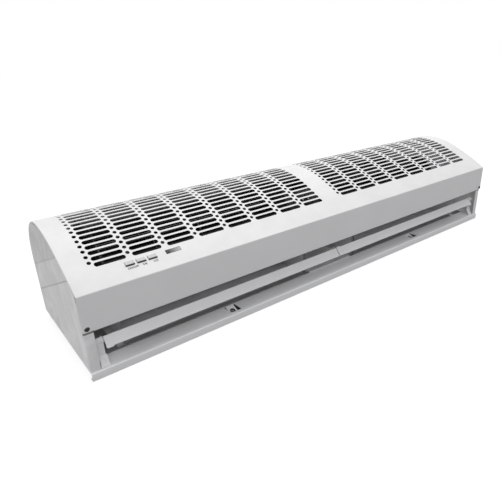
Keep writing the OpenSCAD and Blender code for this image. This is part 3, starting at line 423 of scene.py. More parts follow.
# scrolls: a band of painted shade at the front where the vanes cast their shadow, then bare zinc, then
# painted shade further in
dullZinc = guideSheet("dullZincSheet", [(0.04, 0.32), (0.12, 0.38), (0.17, 0.85), (0.42, 1.0), (0.56, 1.0),
                                        (0.76, 0.3), (0.95, 0.0)], (0.035, 0.065))
# motor cradle: bare zinc at the front, painted shade further in and higher up
cradleZinc = guideSheet("cradleZincSheet", [(0.05, 0.85), (0.12, 1.0), (0.56, 1.0), (0.76, 0.3),
                                            (0.95, 0.0)], (0.035, 0.065))
# bulkheads and left bearing plate: painted shade at the front edge, further in and higher up, with bare zinc
# between
plateZinc = guideSheet("plateZincSheet", [(0.06, 0.1), (0.13, 0.9), (0.42, 0.9), (0.6, 0.5), (0.76, 0.1),
                                          (0.95, 0.0)], (0.05, 0.09))
endZinc = guideSheet("endPlateZinc", [(0.1, 0.9), (0.9, 0.8)], (0.3, 0.4))
coreSheets = stackedSheets("coreSheets")
winding = woundCopper("varnishedWinding")
screwLow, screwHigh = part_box("cover_screws")
headRadius = (screwHigh[2] - screwLow[2]) / 2
blackScrew = screwWithPaintedGlint("blackScrewSteel", screwHigh[0] - headRadius, screwLow[2] + headRadius, headRadius)
wallZinc = wallPlate("wallPlateCoat", [(-0.2194, -0.078), (0.2382, -0.078)], 0.0022)
keyShade = mouldedPiece("keyShade", grey(0.16, 0.162), grey(0.12, 0.122), roughness=0.5, **keyGrain)
keyPlastic = mouldedPiece("keyPlastic", grey(0.58, 0.575), grey(0.5, 0.495), roughness=0.36, **keyGrain)
palePlastic = mouldedPiece("palePlastic", (0.72, 0.7, 0.64), (0.62, 0.6, 0.54), roughness=0.45)
darkPlastic = mouldedPiece("darkPlastic", grey(0.06, 0.065), grey(0.04, 0.042), roughness=0.5)
board = mouldedPiece("boardResin", (0.04, 0.16, 0.07), (0.025, 0.1, 0.045), roughness=0.35, bump=0.1)
brightSteel = groundSteel("brightSteel", (0.68, 0.69, 0.7), (0.5, 0.51, 0.53))
ink = printedInk("labelInk")
print("materials made")


def dress(name, coat):
    held = nodes[name].data.materials
    held.clear()
    held.append(coat)


cadFinish = {
    white: ["front_cover", "end_plate_left", "end_plate_right"],
    whiteInside: ["base_pan"],
    vaneWhite: ["vane_left", "vane_right", "vane_bracket_left", "vane_bracket_right", "vane_bracket_centre"],
    wallZinc: ["wall_plate"],
    zinc: ["motor_clamps", "capacitor_clamp"],
    dullZinc: ["scroll_left", "scroll_right"],
    cradleZinc: ["motor_cradle"],
    plateZinc: ["bulkhead_left", "bulkhead_right", "bearing_plate_left"],
    endZinc: ["bearing_plate_right"],
    darkCoatAndShade: ["motor_case_left", "motor_case_right"],
    roofShadeAndBareUnder: ["tongue_left", "tongue_right", "electrics_tray"],
    fanPlastic: ["impeller_left", "impeller_right"],
    rubber: ["coupling_left", "coupling_right", "bearing_bushes", "motor_rings", "cable_grommet"],
    coreSheets: ["stator_core", "motor_rotor"],
    winding: ["stator_windings"],
    blackScrew: ["cover_screws"],
    keyPlastic: ["key_power", "key_high", "key_low"],
    palePlastic: ["capacitor", "terminal_block", "vane_washers"],
    darkPlastic: ["switch_body", "switch_lead", "lead_clips"],
    board: ["indicator_board"],
    brightSteel: ["coupling_screws", "stub_shafts", "end_bearings", "motor_bolts", "motor_shaft",
                  "motor_bearings", "clamp_screws", "vane_left_pins", "vane_right_pins"],
}
for coat, names in cadFinish.items():
    for name in names:
        dress(name, coat)


# bent sheets: a flat blank in (x, s) is wrapped on a path of straight runs and turns

def makePath(u, z, heading, pieces):
    path = []
    s = 0.0
    for kind, *values in pieces:
        if kind == "run":
            length, turn = values[0], 0.0
        else:
            radius, turn = values
            length = radius * abs(math.radians(turn))
        path.append({"s": s, "length": length, "u": u, "z": z, "heading": heading, "turn": turn})
        u, z, heading = followPath([path[-1]], s + length)
        s += length
    return path


def followPath(path, s):
    piece = path[0]
    for candidate in path:
        if candidate["s"] <= s + 1e-9:
            piece = candidate
    along = s - piece["s"]
    h = math.radians(piece["heading"])
    if piece["turn"] == 0.0:
        return piece["u"] + along * math.cos(h), piece["z"] + along * math.sin(h), piece["heading"]
    turn = math.radians(piece["turn"])
    radius = piece["length"] / abs(turn)
    side = 1.0 if turn > 0 else -1.0
    centreU = piece["u"] - side * radius * math.sin(h)
    centreZ = piece["z"] + side * radius * math.cos(h)
    now = h + turn * (along / piece["length"])
    return (centreU + side * radius * math.sin(now), centreZ - side * radius * math.cos(now),
            math.degrees(now))


def pathThrough(points, radii):
    # runs between corner points, with each corner rounded at its own radius
    runs = [(u1 - u0, z1 - z0) for (u0, z0), (u1, z1) in zip(points, points[1:])]
    headings = [math.degrees(math.atan2(z, u)) for u, z in runs]
    trims, turns = [0.0], []
    for before, after, radius in zip(headings, headings[1:], radii):
        turn = (after - before + 180.0) % 360.0 - 180.0
        turns.append(turn)
        trims.append(radius * math.tan(math.radians(abs(turn)) / 2))
    trims.append(0.0)
    pieces = []
    for i, run in enumerate(runs):
        pieces.append(("run", math.hypot(*run) - trims[i] - trims[i + 1]))
        if i < len(turns):
            pieces.append(("turn", radii[i], turns[i]))
    return makePath(*points[0], headings[0], pieces)


def pathEnd(path):
    return path[-1]["s"] + path[-1]["length"]


def bendLines(path, stepAngle):
    # where the blank is cut so that each turn bends in small steps
    lines = []
    for piece in path:
        steps = max(1, math.ceil(abs(piece["turn"]) / stepAngle))
        lines += [piece["s"] + piece["length"] * i / steps for i in range(steps + 1)]
    return sorted(set(round(s, 5) for s in lines))


def cutPlane(bm, at, normal, merge=1e-5):
    bmesh.ops.bisect_plane(bm, geom=bm.verts[:] + bm.edges[:] + bm.faces[:], dist=merge,
                           plane_co=at, plane_no=normal)


def cutAcross(bm, places, axis):
    normal = Vector((1.0, 0.0, 0.0)) if axis == "x" else Vector((0.0, 1.0, 0.0))
    for place in places:
        cutPlane(bm, normal * place, normal)


def roundHole(x, s, radius, steps, length=None):
    # with a length, a slot with round ends
    return x, s, radius, steps, (length or 2 * radius) / 2 - radius


def blank(outline, holes=()):
    # a flat face with openings in it, each a list of corners or a round hole
    bm = bmesh.new()
    edges = []

    def addRing(points):
        ring = [bm.verts.new((x, s, 0.0)) for x, s in points]
        edges.extend(bm.edges.new((ring[i - 1], ring[i])) for i in range(len(ring)))

    addRing(outline)
    for hole in holes:
        if isinstance(hole, list):
            addRing(hole)
            continue
        x, s, radius, steps, reach = hole
        place = Matrix.Translation((x, s, 0.0)) @ Matrix.Rotation(math.pi / steps, 4, "Z")
        ring = bmesh.ops.create_circle(bm, cap_ends=False, segments=steps, radius=radius,
                                       matrix=place)["verts"]
        for vert in ring:
            vert.co.x += reach if vert.co.x > x else -reach
        edges += list({edge for vert in ring for edge in vert.link_edges})
    bmesh.ops.triangle_fill(bm, use_beauty=True, use_dissolve=False, edges=edges)
    for face in bm.faces:
        if face.normal.z < 0:
            face.normal_flip()
    return bm


def plainPatch(x0, x1, s0, s1, holes=()):
    return blank([(x0, s0), (x1, s0), (x1, s1), (x0, s1)], holes)


def stamp(bm, cell, places=((0.0, 0.0),)):
    # copies of a flat cell at each place
    spare = bpy.data.meshes.new("cell")
    cell.to_mesh(spare)
    cell.free()
    for x, s in places:
        known = len(bm.verts)
        bm.from_mesh(spare)
        bm.verts.ensure_lookup_table()
        if x or s:
            bmesh.ops.translate(bm, vec=(x, s, 0.0), verts=bm.verts[known:])
    bpy.data.meshes.remove(spare)


def wrapBlank(bm, path):
    for vert in bm.verts:
        x, s, rise = vert.co
        u, z, heading = followPath(path, s)
        h = math.radians(heading)
        vert.co = Vector((x, case["frontY"] + u - rise * math.sin(h), z + rise * math.cos(h)))


def thicken(bm, thickness, lift=0.0):
    # a second skin below the drawn one, joined to it along every open edge
    bm.normal_update()
    upper, faces = bm.verts[:], bm.faces[:]
    rims = [edge for edge in bm.edges if len(edge.link_faces) == 1]
    lower = {}
    for vert in upper:
        spread = sum(vert.normal.dot(face.normal) for face in vert.link_faces) / len(vert.link_faces)
        reach = vert.normal / max(spread, 0.7)
        lower[vert] = bm.verts.new(vert.co - reach * (thickness - lift))
        vert.co += reach * lift
    for face in faces:
        bm.faces.new([lower[vert] for vert in reversed(face.verts)])
    for edge in rims:
        loop = edge.link_loops[0]
        a, b = loop.vert, loop.link_loop_next.vert
        bm.faces.new((b, a, lower[a], lower[b]))


def thickenBoth(bm, thickness):
    # half to each side of the drawn surface
    thicken(bm, thickness, thickness / 2)


def addObject(name, data):
    thing = bpy.data.objects.new(name, data)
    scene.collection.objects.link(thing)
    return thing


def addPiece(name, bm, materials, body="case", sharpAngle=32.0, stands=()):
    bmesh.ops.scale(bm, vec=(mm, mm, mm), verts=bm.verts[:])
    bm.normal_update()
    limit = math.radians(sharpAngle)
    for face in bm.faces:
        face.smooth = True
    for edge in bm.edges:
        edge.smooth = len(edge.link_faces) == 2 and edge.calc_face_angle(0.0) < limit
    mesh = bpy.data.meshes.new(name)
    bm.to_mesh(mesh)
    bm.free()
    for material in materials:
        mesh.materials.append(material)
    piece = addObject(name, mesh)
    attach(piece, body)
    if stands:
        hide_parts(*stands)
    return piece


# the slotted cover

cover = {
    "thickness": 1.1, "bendRadius": 1.6, "bendStep": 3.0,
    "foldDepth": 11.0, "hookDepth": 8.0, "hookZ": 10.8,
    "hem": 8.0, "hemAbove": 2.0, "hemSteps": 8, "openGap": 0.3,
    "slotLength": 41.0, "slotWidth": 7.0, "slotMargin": 1.0,
    "columnPitch": 50.0, "columns": 8, "leftGroup": -413.5, "rightGroup": 25.5,
    "rows": 16, "rowPitch": 10.0, "firstRow": 37.5, "dotSize": 5.5, "dotGap": 4.5,
    "keyX": -357.5, "keyPitch": 15.6, "keyWidth": 12.8, "keyLength": 7.9, "keyRow": 24.75,
    "windowX": -311.0, "windowWidth": 22.2, "windowHeight": 6.8, "windowRow": 25.2,
}


def coverPath():
    half = case["sheet"] / 2
    r = cover["bendRadius"] - half
    turn = 90.0 - case["slopeAngle"]
    tangent = r * math.tan(math.radians(turn / 2))
    inset = half * math.tan(math.radians(turn / 2))
    a = math.radians(case["slopeAngle"])
    cornerZ = case["frontTop"] - half / math.cos(a) + half * math.tan(a)
    foldZ = case["outletTop"] + half
    slopeU, slopeZ = case["slopeLength"] * math.cos(a), case["frontTop"] + case["slopeLength"] * math.sin(a)
    browU, browZ = slopeU + case["browRadius"] * math.sin(a), slopeZ - case["browRadius"] * math.cos(a)
    b = math.radians(case["browEnd"])
    step = case["browRadius"] - case["crownRadius"]
    crownU, crownZ = browU - step * math.sin(b), browZ + step * math.cos(b)
    c = math.radians(case["crownEnd"])
    rearRadius = (case["depth"] - crownU + case["crownRadius"] * math.sin(c)) / (1 + math.sin(c))
    rearZ = crownZ + (case["crownRadius"] - rearRadius) * math.cos(c)
    hookZ = cover["hookZ"] - half
    return makePath(cover["foldDepth"], foldZ, 180.0, [
        ("run", cover["foldDepth"] - half - r),
        ("turn", r, -90.0),
        ("run", cornerZ - foldZ - r - tangent),
        ("turn", r, -turn),
        ("run", case["slopeLength"] - inset - tangent),
        ("turn", case["browRadius"] - half, case["browEnd"] - case["slopeAngle"]),
        ("turn", case["crownRadius"] - half, case["crownEnd"] - case["browEnd"]),
        ("turn", rearRadius - half, -90.0 - case["crownEnd"]),
        ("run", rearZ - hookZ - r),
        ("turn", r, -90.0),
        ("run", cover["hookDepth"] - r)])


path = coverPath()
frontFace, slopeFace, rearFace = path[2]["s"], path[4]["s"], path[8]["s"]
foldRadius = case["sheet"] / 2
cornerTan = math.tan(math.radians((90 - case["slopeAngle"]) / 2))
# distance on the path where the outer surface's measured distance is zero
frontEdge = slopeFace - (foldRadius * cornerTan + (cover["bendRadius"] - foldRadius) * cornerTan)
foldCentre = case["halfLength"] - case["sheet"]
plainEdge = foldCentre + foldRadius * math.pi / 2
hemEdge = foldCentre + foldRadius * math.pi + cover["hem"] - case["sheet"]
openEdge = case["halfLength"] - case["endFlange"] - cover["openGap"]


def makeGrille():
    # cells of one slot with the strip of sheet round it, and of one round hole beside it
    grille = bmesh.new()
    half, margin, pitch, rows = cover["rowPitch"] / 2, cover["slotMargin"], cover["rowPitch"], cover["rows"]
    end = cover["slotLength"] + margin
    left = end - cover["columnPitch"]
    slot = plainPatch(-margin, end, -half, half, [
        roundHole(cover["slotLength"] / 2, 0.0, cover["slotWidth"] / 2, 24, cover["slotLength"])])
    cutAcross(slot, [0.0], "y")
    dot = plainPatch(left, -margin, 0.0, pitch, [roundHole(-cover["dotGap"], half, cover["dotSize"] / 2, 16)])
    cutAcross(dot, [half], "y")
    first = frontEdge + cover["firstRow"]
    low, high, last = first - half, first + (rows - 0.5) * pitch, first + (rows - 1) * pitch
    groups = [cover["leftGroup"], cover["rightGroup"]]
    starts = [group + i * cover["columnPitch"] for group in groups for i in range(cover["columns"])]
    stamp(grille, slot, [(x, first + i * pitch) for x in starts for i in range(rows)])
    stamp(grille, dot, [(x, first + i * pitch) for x in starts for i in range(rows - 1)])
    stamp(grille, plainPatch(left, -margin, -half, 0.0), [(x, first) for x in starts])
    stamp(grille, plainPatch(left, -margin, 0.0, half), [(x, last) for x in starts])
    span = cover["columns"] * cover["columnPitch"]
    edges = [-hemEdge] + [group + left + more for group in groups for more in (0.0, span)] + [hemEdge]
    for x0, x1 in zip(edges[::2], edges[1::2]):
        patch = plainPatch(x0, x1, low, high)
        cutAcross(patch, [low + i * half for i in range(1, 2 * rows)], "y")
        stamp(grille, patch)
    return grille, low, high


def opening(x, s, width, height):
    return [(x + a * width / 2, s + b * height / 2) for a, b in ((-1, -1), (1, -1), (1, 1), (-1, 1))]


def makeCover():
    sheet, low, high = makeGrille()
    hemStart = slopeFace + cover["hemAbove"]
    openings = [opening(cover["keyX"] + i * cover["keyPitch"], frontEdge + cover["keyRow"],
                        cover["keyWidth"], cover["keyLength"]) for i in (-1, 0, 1)]
    openings.append(opening(cover["windowX"], frontEdge + cover["windowRow"],
                            cover["windowWidth"], cover["windowHeight"]))
    for edge, s0, s1, holes in ((openEdge, 0.0, frontFace, ()), (plainEdge, frontFace, hemStart, ()),
                                (hemEdge, hemStart, low, openings), (hemEdge, high, rearFace, ()),
                                (plainEdge, rearFace, pathEnd(path), ())):
        stamp(sheet, plainPatch(-edge, edge, s0, s1, holes))
    steps = cover["hemSteps"]
    folds = [foldCentre + foldRadius * math.pi * i / steps for i in range(steps + 1)]
    cutAcross(sheet, [-x for x in folds] + folds + [-openEdge, openEdge], "x")
    lines = [s for s in bendLines(path, cover["bendStep"]) if not low < s < high]
    cutAcross(sheet, lines + [low, high, hemStart], "y")
    bmesh.ops.remove_doubles(sheet, verts=sheet.verts[:], dist=1e-4)
    print("cover blank:", len(sheet.verts), "vertices")

    # the ends fold in, then the blank is wrapped on its path
    for vert in sheet.verts:
        beyond = abs(vert.co.x) - foldCentre
        if beyond > 0:
            side = math.copysign(1.0, vert.co.x)
            angle = beyond / foldRadius
            if angle < math.pi:
                vert.co.x = side * (foldCentre + foldRadius * math.sin(angle))
                vert.co.z = -foldRadius * (1 - math.cos(angle))
            else:
                vert.co.x = side * (foldCentre - (beyond - foldRadius * math.pi))
                vert.co.z = -2 * foldRadius
    wrapBlank(sheet, path)
    # outer skin, inner skin and rim have a coat each; the inner and rim coats carry painted shade low down
    skin = len(sheet.faces)
    thickenBoth(sheet, cover["thickness"])
    for i, face in enumerate(sheet.faces):
        face.material_index = min(i // skin, 2)
    return addPiece("cover_sheet", sheet, [coverWhite, innerCoatAndShade, rimCoatAndShade],
                    stands=["front_cover"], sharpAngle=40.0)


coverPiece = makeCover()
print("cover made:", len(coverPiece.data.polygons), "faces")


# pressed and bent sheets of the case

floorPan = {
    "thickness": 1.15, "lipReturn": 8.0, "foldRadius": 1.4, "bendRadius": 1.0, "upstandTop": 38.0,
    "rampX": 225.0, "rampWidth": 14.0, "rampRear": 28.0, "rampAngle": 23.0, "rampBend": 3.0,
    "cutWidth": 20.0, "cutFront": 8.0, "cutGap": 0.3, "rampHole": 4.4, "rampHoleAt": 10.5,
    "rampLines": (0.0, 0.6, 1.2, 3.0), "rampLow": 5.0,
    "grommetAt": (426.0, 186.0), "grommetHole": 7.02, "bendStep": 8.0,
}


def slantRamps(bm):
    # the tongue between the cuts bends down towards the front
    pan = floorPan
    reach = math.radians(pan["rampAngle"])
    bend = pan["rampBend"]
    for vert in bm.verts:
        u = vert.co.y - case["frontY"]
        back = pan["rampRear"] - u
        beside = abs(abs(vert.co.x) - pan["rampX"])
        onTongue = beside <= pan["rampWidth"] / 2 + 0.01 and back > 0 and u >= pan["cutFront"] + 0.2
        if not onTongue or vert.co.z < pan["rampLow"]:
            continue
        turned = min(back / bend, reach)
        straight = back - turned * bend
        vert.co.y = case["frontY"] + pan["rampRear"] - bend * math.sin(turned) - straight * math.cos(turned)
        vert.co.z -= bend * (1 - math.cos(turned)) + straight * math.sin(turned)


def makeFloorPan():
    pan, half = floorPan, case["sheet"] / 2
    level = case["standOff"] - half
    rearU = case["depth"] - 3 * half
    track = pathThrough([(pan["lipReturn"], half), (half, half), (half, level), (rearU, level),
                         (rearU, pan["upstandTop"])],
                        [pan["bendRadius"], pan["foldRadius"], pan["bendRadius"]])
    floorStart = track[4]["s"] - track[4]["u"]
    rear, wide = floorStart + pan["rampRear"], pan["cutWidth"] / 2
    front, narrow = floorStart + pan["cutFront"], pan["rampWidth"] / 2
    inner = front + pan["cutGap"]
    holes = []
    for x in (-pan["rampX"], pan["rampX"]):
        holes.append([(x - wide, front), (x + wide, front), (x + wide, rear), (x + narrow, rear),
                      (x + narrow, inner), (x - narrow, inner), (x - narrow, rear), (x - wide, rear)])
        holes.append(roundHole(x, rear - pan["rampHoleAt"], pan["rampHole"], 32))
    grommetX, grommetU = pan["grommetAt"]
    holes.append(roundHole(grommetX, floorStart + grommetU, pan["grommetHole"], 36))
    sheet = plainPatch(-case["halfLength"], case["halfLength"], 0.0, pathEnd(track), holes)
    cutAcross(sheet, bendLines(track, pan["bendStep"]) + [rear - back for back in pan["rampLines"]], "y")
    wrapBlank(sheet, track)
    slantRamps(sheet)
    thickenBoth(sheet, pan["thickness"])
    # the pressed ramps have a coat of their own
    for face in sheet.faces:
        x, y, z = face.calc_center_median()
        onRamp = abs(abs(x) - pan["rampX"]) < narrow and 2.0 < z < case["standOff"]
        between = pan["cutFront"] + 0.4 < y - case["frontY"] < pan["rampRear"]
        face.material_index = int(onRamp and between)
    return addPiece("floor_pan", sheet, [whiteInside, rampWhite], stands=["base_pan"],
                    sharpAngle=35.0)


endPanel = {
    "thickness": 1.1, "bendRadius": 1.4, "bendStep": 12.0,
    "flangeTop": 111.0, "flangeBack": 0.7, "hemIn": 2.7,
    "stepDepth": 0.75, "shoulder": 1.0, "footFront": 4.0, "footGap": 0.02,
    "gridStep": 8.0, "gridLines": (26, 20), "topSteps": 60, "topFrom": 1.0, "topTo": 0.3,
    # where the steps run out, and over what length
    "easeFront": (12.0, 16.0), "easeRear": (4.0, 10.0), "easeFoot": (13.0, 12.0),
    "bandUpper": ((204.9, 92.7), (72.7, 145.0)),
    "bandLower": ((197.2, 54.7), (29.5, 129.4)),
    # how dark the painted shade is drawn along each step line, and over the band above it
    "lineShade": {"bandUpper": (0.35, 0.19), "bandLower": (0.75, 0.08)},
}


def besideLine(u, z, line):
    (u0, z0), (u1, z1) = line
    length = math.hypot(u1 - u0, z1 - z0)
    return ((u1 - u0) * (z - z0) - (z1 - z0) * (u - u0)) / length


def easeStep(value):
    value = min(1.0, max(0.0, value))
    return value * value * (3 - 2 * value)


def panelCoat(name):
    # clouded paint, with painted shade over each step and along its line, and a painted shadow where the
    # cover hangs over it
    material, tree, place = newTree(name)
    height, tone = placeGroup(tree, coatGrain, place, peelSize, 16.0)
    marks = placeGroup(tree, fineScratches, place, scratchSize)[0]
    patches = ramp(tree, noise(tree, place, 26.0, 3.0, distortion=0.6), [(0.36, 0.0), (0.64, 1.0)])
    clouds = timesPlus(tree, tone, 0.35, times(tree, patches, 0.65))
    base = blend(tree, clouds, grey(0.71, 0.705), grey(0.96, 0.955))
    for band, (line, darker) in endPanel["lineShade"].items():
        (u0, z0), (u1, z1) = endPanel[band]
        length = math.hypot(u1 - u0, z1 - z0)
        across = (0.0, (z0 - z1) / length, (u1 - u0) / length)
        start = across[1] * (u0 + case["frontY"]) * mm + across[2] * z0 * mm
        along = addNode(tree, "VectorMath", {0: place, 1: across}, operation="DOT_PRODUCT").outputs["Value"]
        beside = mathNode(tree, "SUBTRACT", along, start)
        # painted shade over the band beside the step line, then a darker painted line along it
        base = blend(tree, remap(tree, beside, -0.0005, 0.0005, darker, 0.0), base, grey(0.1))
        near = remap(tree, mathNode(tree, "ABSOLUTE", beside), 0.0003, 0.0012, line, 0.0)
        base = blend(tree, near, base, grey(0.3))
    sides = axes(tree, place)
    # painted shadow on the front flange just under the cover's lower edge
    front = mathNode(tree, "LESS_THAN", sides[1], (case["frontY"] + 4.0) * mm)
    under = mathNode(tree, "COMPARE", sides[2], (case["outletTop"] - 1.0) * mm, 1.4 * mm)
    base = blend(tree, times(tree, front, under), base, grey(0.22))
    base = blend(tree, times(tree, marks, 0.12), base, grey(0.5))
    return finish(material, tree, base, timesPlus(tree, tone, 0.2, 0.34), (height, 0.12, coatRelief),
                  {"IOR": 1.47})


def makeEndPanel(name, node, side):
    panel, half = endPanel, case["sheet"] / 2
    rearU = case["depth"] - panel["hemIn"]
    # the track runs out along the front flange, round the corner and back along the panel
    faceU = 3 * half + panel["flangeBack"]
    track = pathThrough([(faceU, case["halfLength"] - case["endFlange"]), (faceU, case["halfLength"] - half),
                         (rearU, case["halfLength"] - half)], [panel["bendRadius"]])
    panelStart = track[2]["s"] - track[2]["u"]
    drop = panel["hemIn"] - half
    top = []
    for step in range(1, panel["topSteps"]):
        u, z, heading = followPath(path, slopeFace + (rearFace - slopeFace) * step / panel["topSteps"])
        h = math.radians(heading)
        u, z = u + drop * math.sin(h), z - drop * math.cos(h)
        if track[2]["u"] + panel["topFrom"] < u < rearU - panel["topTo"] and z > case["standOff"]:
            top.append((z, panelStart + u))
    low, grid = case["standOff"], panel["gridStep"]
    across, up = panel["gridLines"]
    outline = [(low, 0.0), (panel["flangeTop"], 0.0), (panel["flangeTop"], track[2]["s"])] + top + [
        (top[-1][0], pathEnd(track)), (low, pathEnd(track))]
    sheet = blank(outline)
    cutAcross(sheet, bendLines(track, panel["bendStep"]), "y")
    cutAcross(sheet, [panelStart + grid * i for i in range(1, across)], "y")
    cutAcross(sheet, [low + grid * i for i in range(1, up)], "x")
    lines, shoulder = (panel["bandUpper"], panel["bandLower"]), panel["shoulder"]
    for (u0, z0), (u1, z1) in lines:
        normal = Vector((u1 - u0, z0 - z1, 0.0)).normalized()
        for shift in (-1.0, -0.5, 0.0, 0.5, 1.0):
            cutPlane(sheet, Vector((z0, panelStart + u0, 0.0)) + normal * shift * shoulder, normal, 1e-4)
    for vert in sheet.verts:
        z, u = vert.co.x, vert.co.y - panelStart
        steps = sum(easeStep(0.5 + besideLine(u, z, line) / shoulder / 2) for line in lines)
        edge = min(easeStep((value - start) / length) for value, (start, length) in (
            (u, panel["easeFront"]), (rearU - u, panel["easeRear"]), (z, panel["easeFoot"])))
        vert.co.z = -panel["stepDepth"] * steps * edge
    wrapBlank(sheet, track)
    thickenBoth(sheet, panel["thickness"])
    foot = plainPatch(case["halfLength"] - case["endFlange"], case["halfLength"] - case["sheet"],
                      panel["footFront"], rearU)
    for vert in foot.verts:
        vert.co = Vector((low + panel["footGap"] + panel["thickness"], case["frontY"] + vert.co.y, vert.co.x))
    thicken(foot, -panel["thickness"])
    stamp(sheet, foot)
    for vert in sheet.verts:
        vert.co = Vector((side * vert.co.z, vert.co.y, vert.co.x))
    bmesh.ops.recalc_face_normals(sheet, faces=sheet.faces[:])
    return addPiece(name, sheet, [panelWhite], stands=[node], sharpAngle=35.0)


panelWhite = panelCoat("panelPowderCoat")
makeFloorPan()
for side, sign in (("left", -1.0), ("right", 1.0)):
    makeEndPanel("end_panel_" + side, "end_plate_" + side, sign)
print("floor and end panels made")


# outlet vanes and what holds them

vanes = {
    "pivotU": 14.58, "pivotZ": 44.876, "tilt": 49.7,
    "thickness": 0.95, "faceOut": 4.95, "lowEnd": -12.5, "highEnd": 3.0,
    "topBend": (2.2, -34.0), "topRun": 1.6,
    "hemRadius": 0.6, "hemLength": 1.8, "scoop": 12.0, "innerX": 5.2, "outerX": 424.8,
    "earThickness": 1.15, "earRadius": 4.0, "earEdge": ((3.0, -0.3), (-4.6, -0.5)),
    "pinHole": 2.04, "tabLength": 2.3, "tabWidth": 9.0, "bendStep": 6.0,
}
brackets = {
    "thickness": 1.4, "outerX": 426.0, "width": 11.0, "centreHalf": 4.0, "footReach": 1.6, "bendStep": 10.0,
    "track": [(2.2, 12.75), (3.9, 12.75), (11.25, 25.2), (11.25, 43.5), (9.6, 45.4), (9.6, 48.6),
              (13.2, 50.1)],
    "radii": [1.0, 2.0, 0.9, 0.8, 1.2],
    "dimpleIn": 0.8, "dimpleZ": 19.0, "dimpleRadius": 2.1, "dimpleDepth": 1.0,
    "dimpleFloor": 0.5, "dimpleOver": 0.25, "dimpleTaper": 0.2, "heel": (1.5, 0.5, 2.5),
    "notch": [(0.9, 12.75), (1.9, 16.5), (1.8, 20.5), (0.0, 24.0)],
    "earThickness": 1.15, "faceOut": 5.75, "faceLow": -12.3, "faceHigh": 3.8, "webRadius": 1.6,
    "ear": [(11.1, 39.0), (15.0, 39.0), (17.6, 40.0), (18.8, 42.2), (19.0, 44.8), (18.8, 47.4), (17.6, 49.5),
            (15.2, 50.5), (11.1, 50.5)],
    "web": [(53.6, 14.85), (44.75, 14.85), (44.75, 31.8)],
    "cheek": [(11.1, 39.2), (11.1, 50.3), (17.4, 50.3), (19.0, 49.4), (45.3, 31.9), (45.3, 14.2),
              (40.2, 14.2), (40.2, 23.4), (39.0, 24.8)],
}


def fromPivot(a, b):
    # a runs up the vane from its pivot line, b stands out of its face
    h = math.radians(vanes["tilt"])
    return (vanes["pivotU"] + a * math.cos(h) - b * math.sin(h),
            vanes["pivotZ"] + a * math.sin(h) + b * math.cos(h))


def pinnedPlate(outline, x, thickness):
    # a flat plate with a pin hole, square to the case's length and drawn in (u, z)
    bm = blank(outline, [roundHole(vanes["pivotU"], vanes["pivotZ"], vanes["pinHole"], 28)])
    thicken(bm, thickness)
    middle = sum(vert.co.z for vert in bm.verts) / len(bm.verts)
    for vert in bm.verts:
        u, z, rise = vert.co
        vert.co = Vector((x + rise - middle, case["frontY"] + u, z))
    bmesh.ops.recalc_face_normals(bm, faces=bm.faces[:])
    return bm


def bentStrip(track, x0, x1, thickness, stepAngle=brackets["bendStep"]):
    bm = plainPatch(x0, x1, 0.0, pathEnd(track))
    cutAcross(bm, bendLines(track, stepAngle), "y")
    wrapBlank(bm, track)
    thickenBoth(bm, thickness)
    return bm


def turnedOver(bm, side):
    if side < 0:
        for vert in bm.verts:
            vert.co.x = -vert.co.x
        bmesh.ops.reverse_faces(bm, faces=bm.faces[:])
    return bm


def makeVane(name, node, body, side):
    vane, half = vanes, vanes["earThickness"] / 2
    low = vane["lowEnd"] + vane["hemRadius"] + vane["thickness"] / 2
    u, z = fromPivot(low + vane["hemLength"], vane["faceOut"] - 2 * vane["hemRadius"])
    length = vane["highEnd"] - vane["topRun"] - low
    scoop = vane["scoop"]
    track = makePath(u, z, vane["tilt"] + 180.0 - scoop / 2, [
        ("run", vane["hemLength"]),
        ("turn", vane["hemRadius"], -180.0),
        ("turn", length / math.radians(scoop), scoop),
        ("turn", *vane["topBend"])])
    bm = bentStrip(track, vane["innerX"], vane["outerX"], vane["thickness"], vane["bendStep"])
    # at the outer end the face runs on a little past the hem
    face = track[2]
    tab = makePath(face["u"], face["z"], face["heading"] + 180.0, [("run", vane["tabLength"])])
    stamp(bm, bentStrip(tab, vane["outerX"] - vane["tabWidth"], vane["outerX"], vane["thickness"]))
    ear = [fromPivot(a, vane["faceOut"] + b) for a, b in vane["earEdge"]]
    turns = [math.radians(180 + 15 * i) for i in range(13)]
    ear += [fromPivot(vane["earRadius"] * math.cos(a), vane["earRadius"] * math.sin(a)) for a in turns]
    for x in (vane["innerX"] + half, vane["outerX"] - half):
        stamp(bm, pinnedPlate(ear, x, vane["earThickness"]))
    return addPiece(name, turnedOver(bm, side), [vaneWhite], body=body, stands=[node])


def dimpleFloor(track, x, s):
    # the closed bottom of the round dimple, just below the sheet's upper face
    piece, bm = brackets, bmesh.new()
    radius, deep = piece["dimpleRadius"] + piece["dimpleOver"], piece["dimpleFloor"]
    bmesh.ops.create_cone(bm, cap_ends=True, segments=24, radius1=radius - piece["dimpleTaper"],
                          radius2=radius, depth=deep)
    bmesh.ops.translate(bm, vec=(x, s, piece["thickness"] / 2 - piece["dimpleDepth"] - deep / 2),
                        verts=bm.verts[:])
    wrapBlank(bm, track)
    return bm


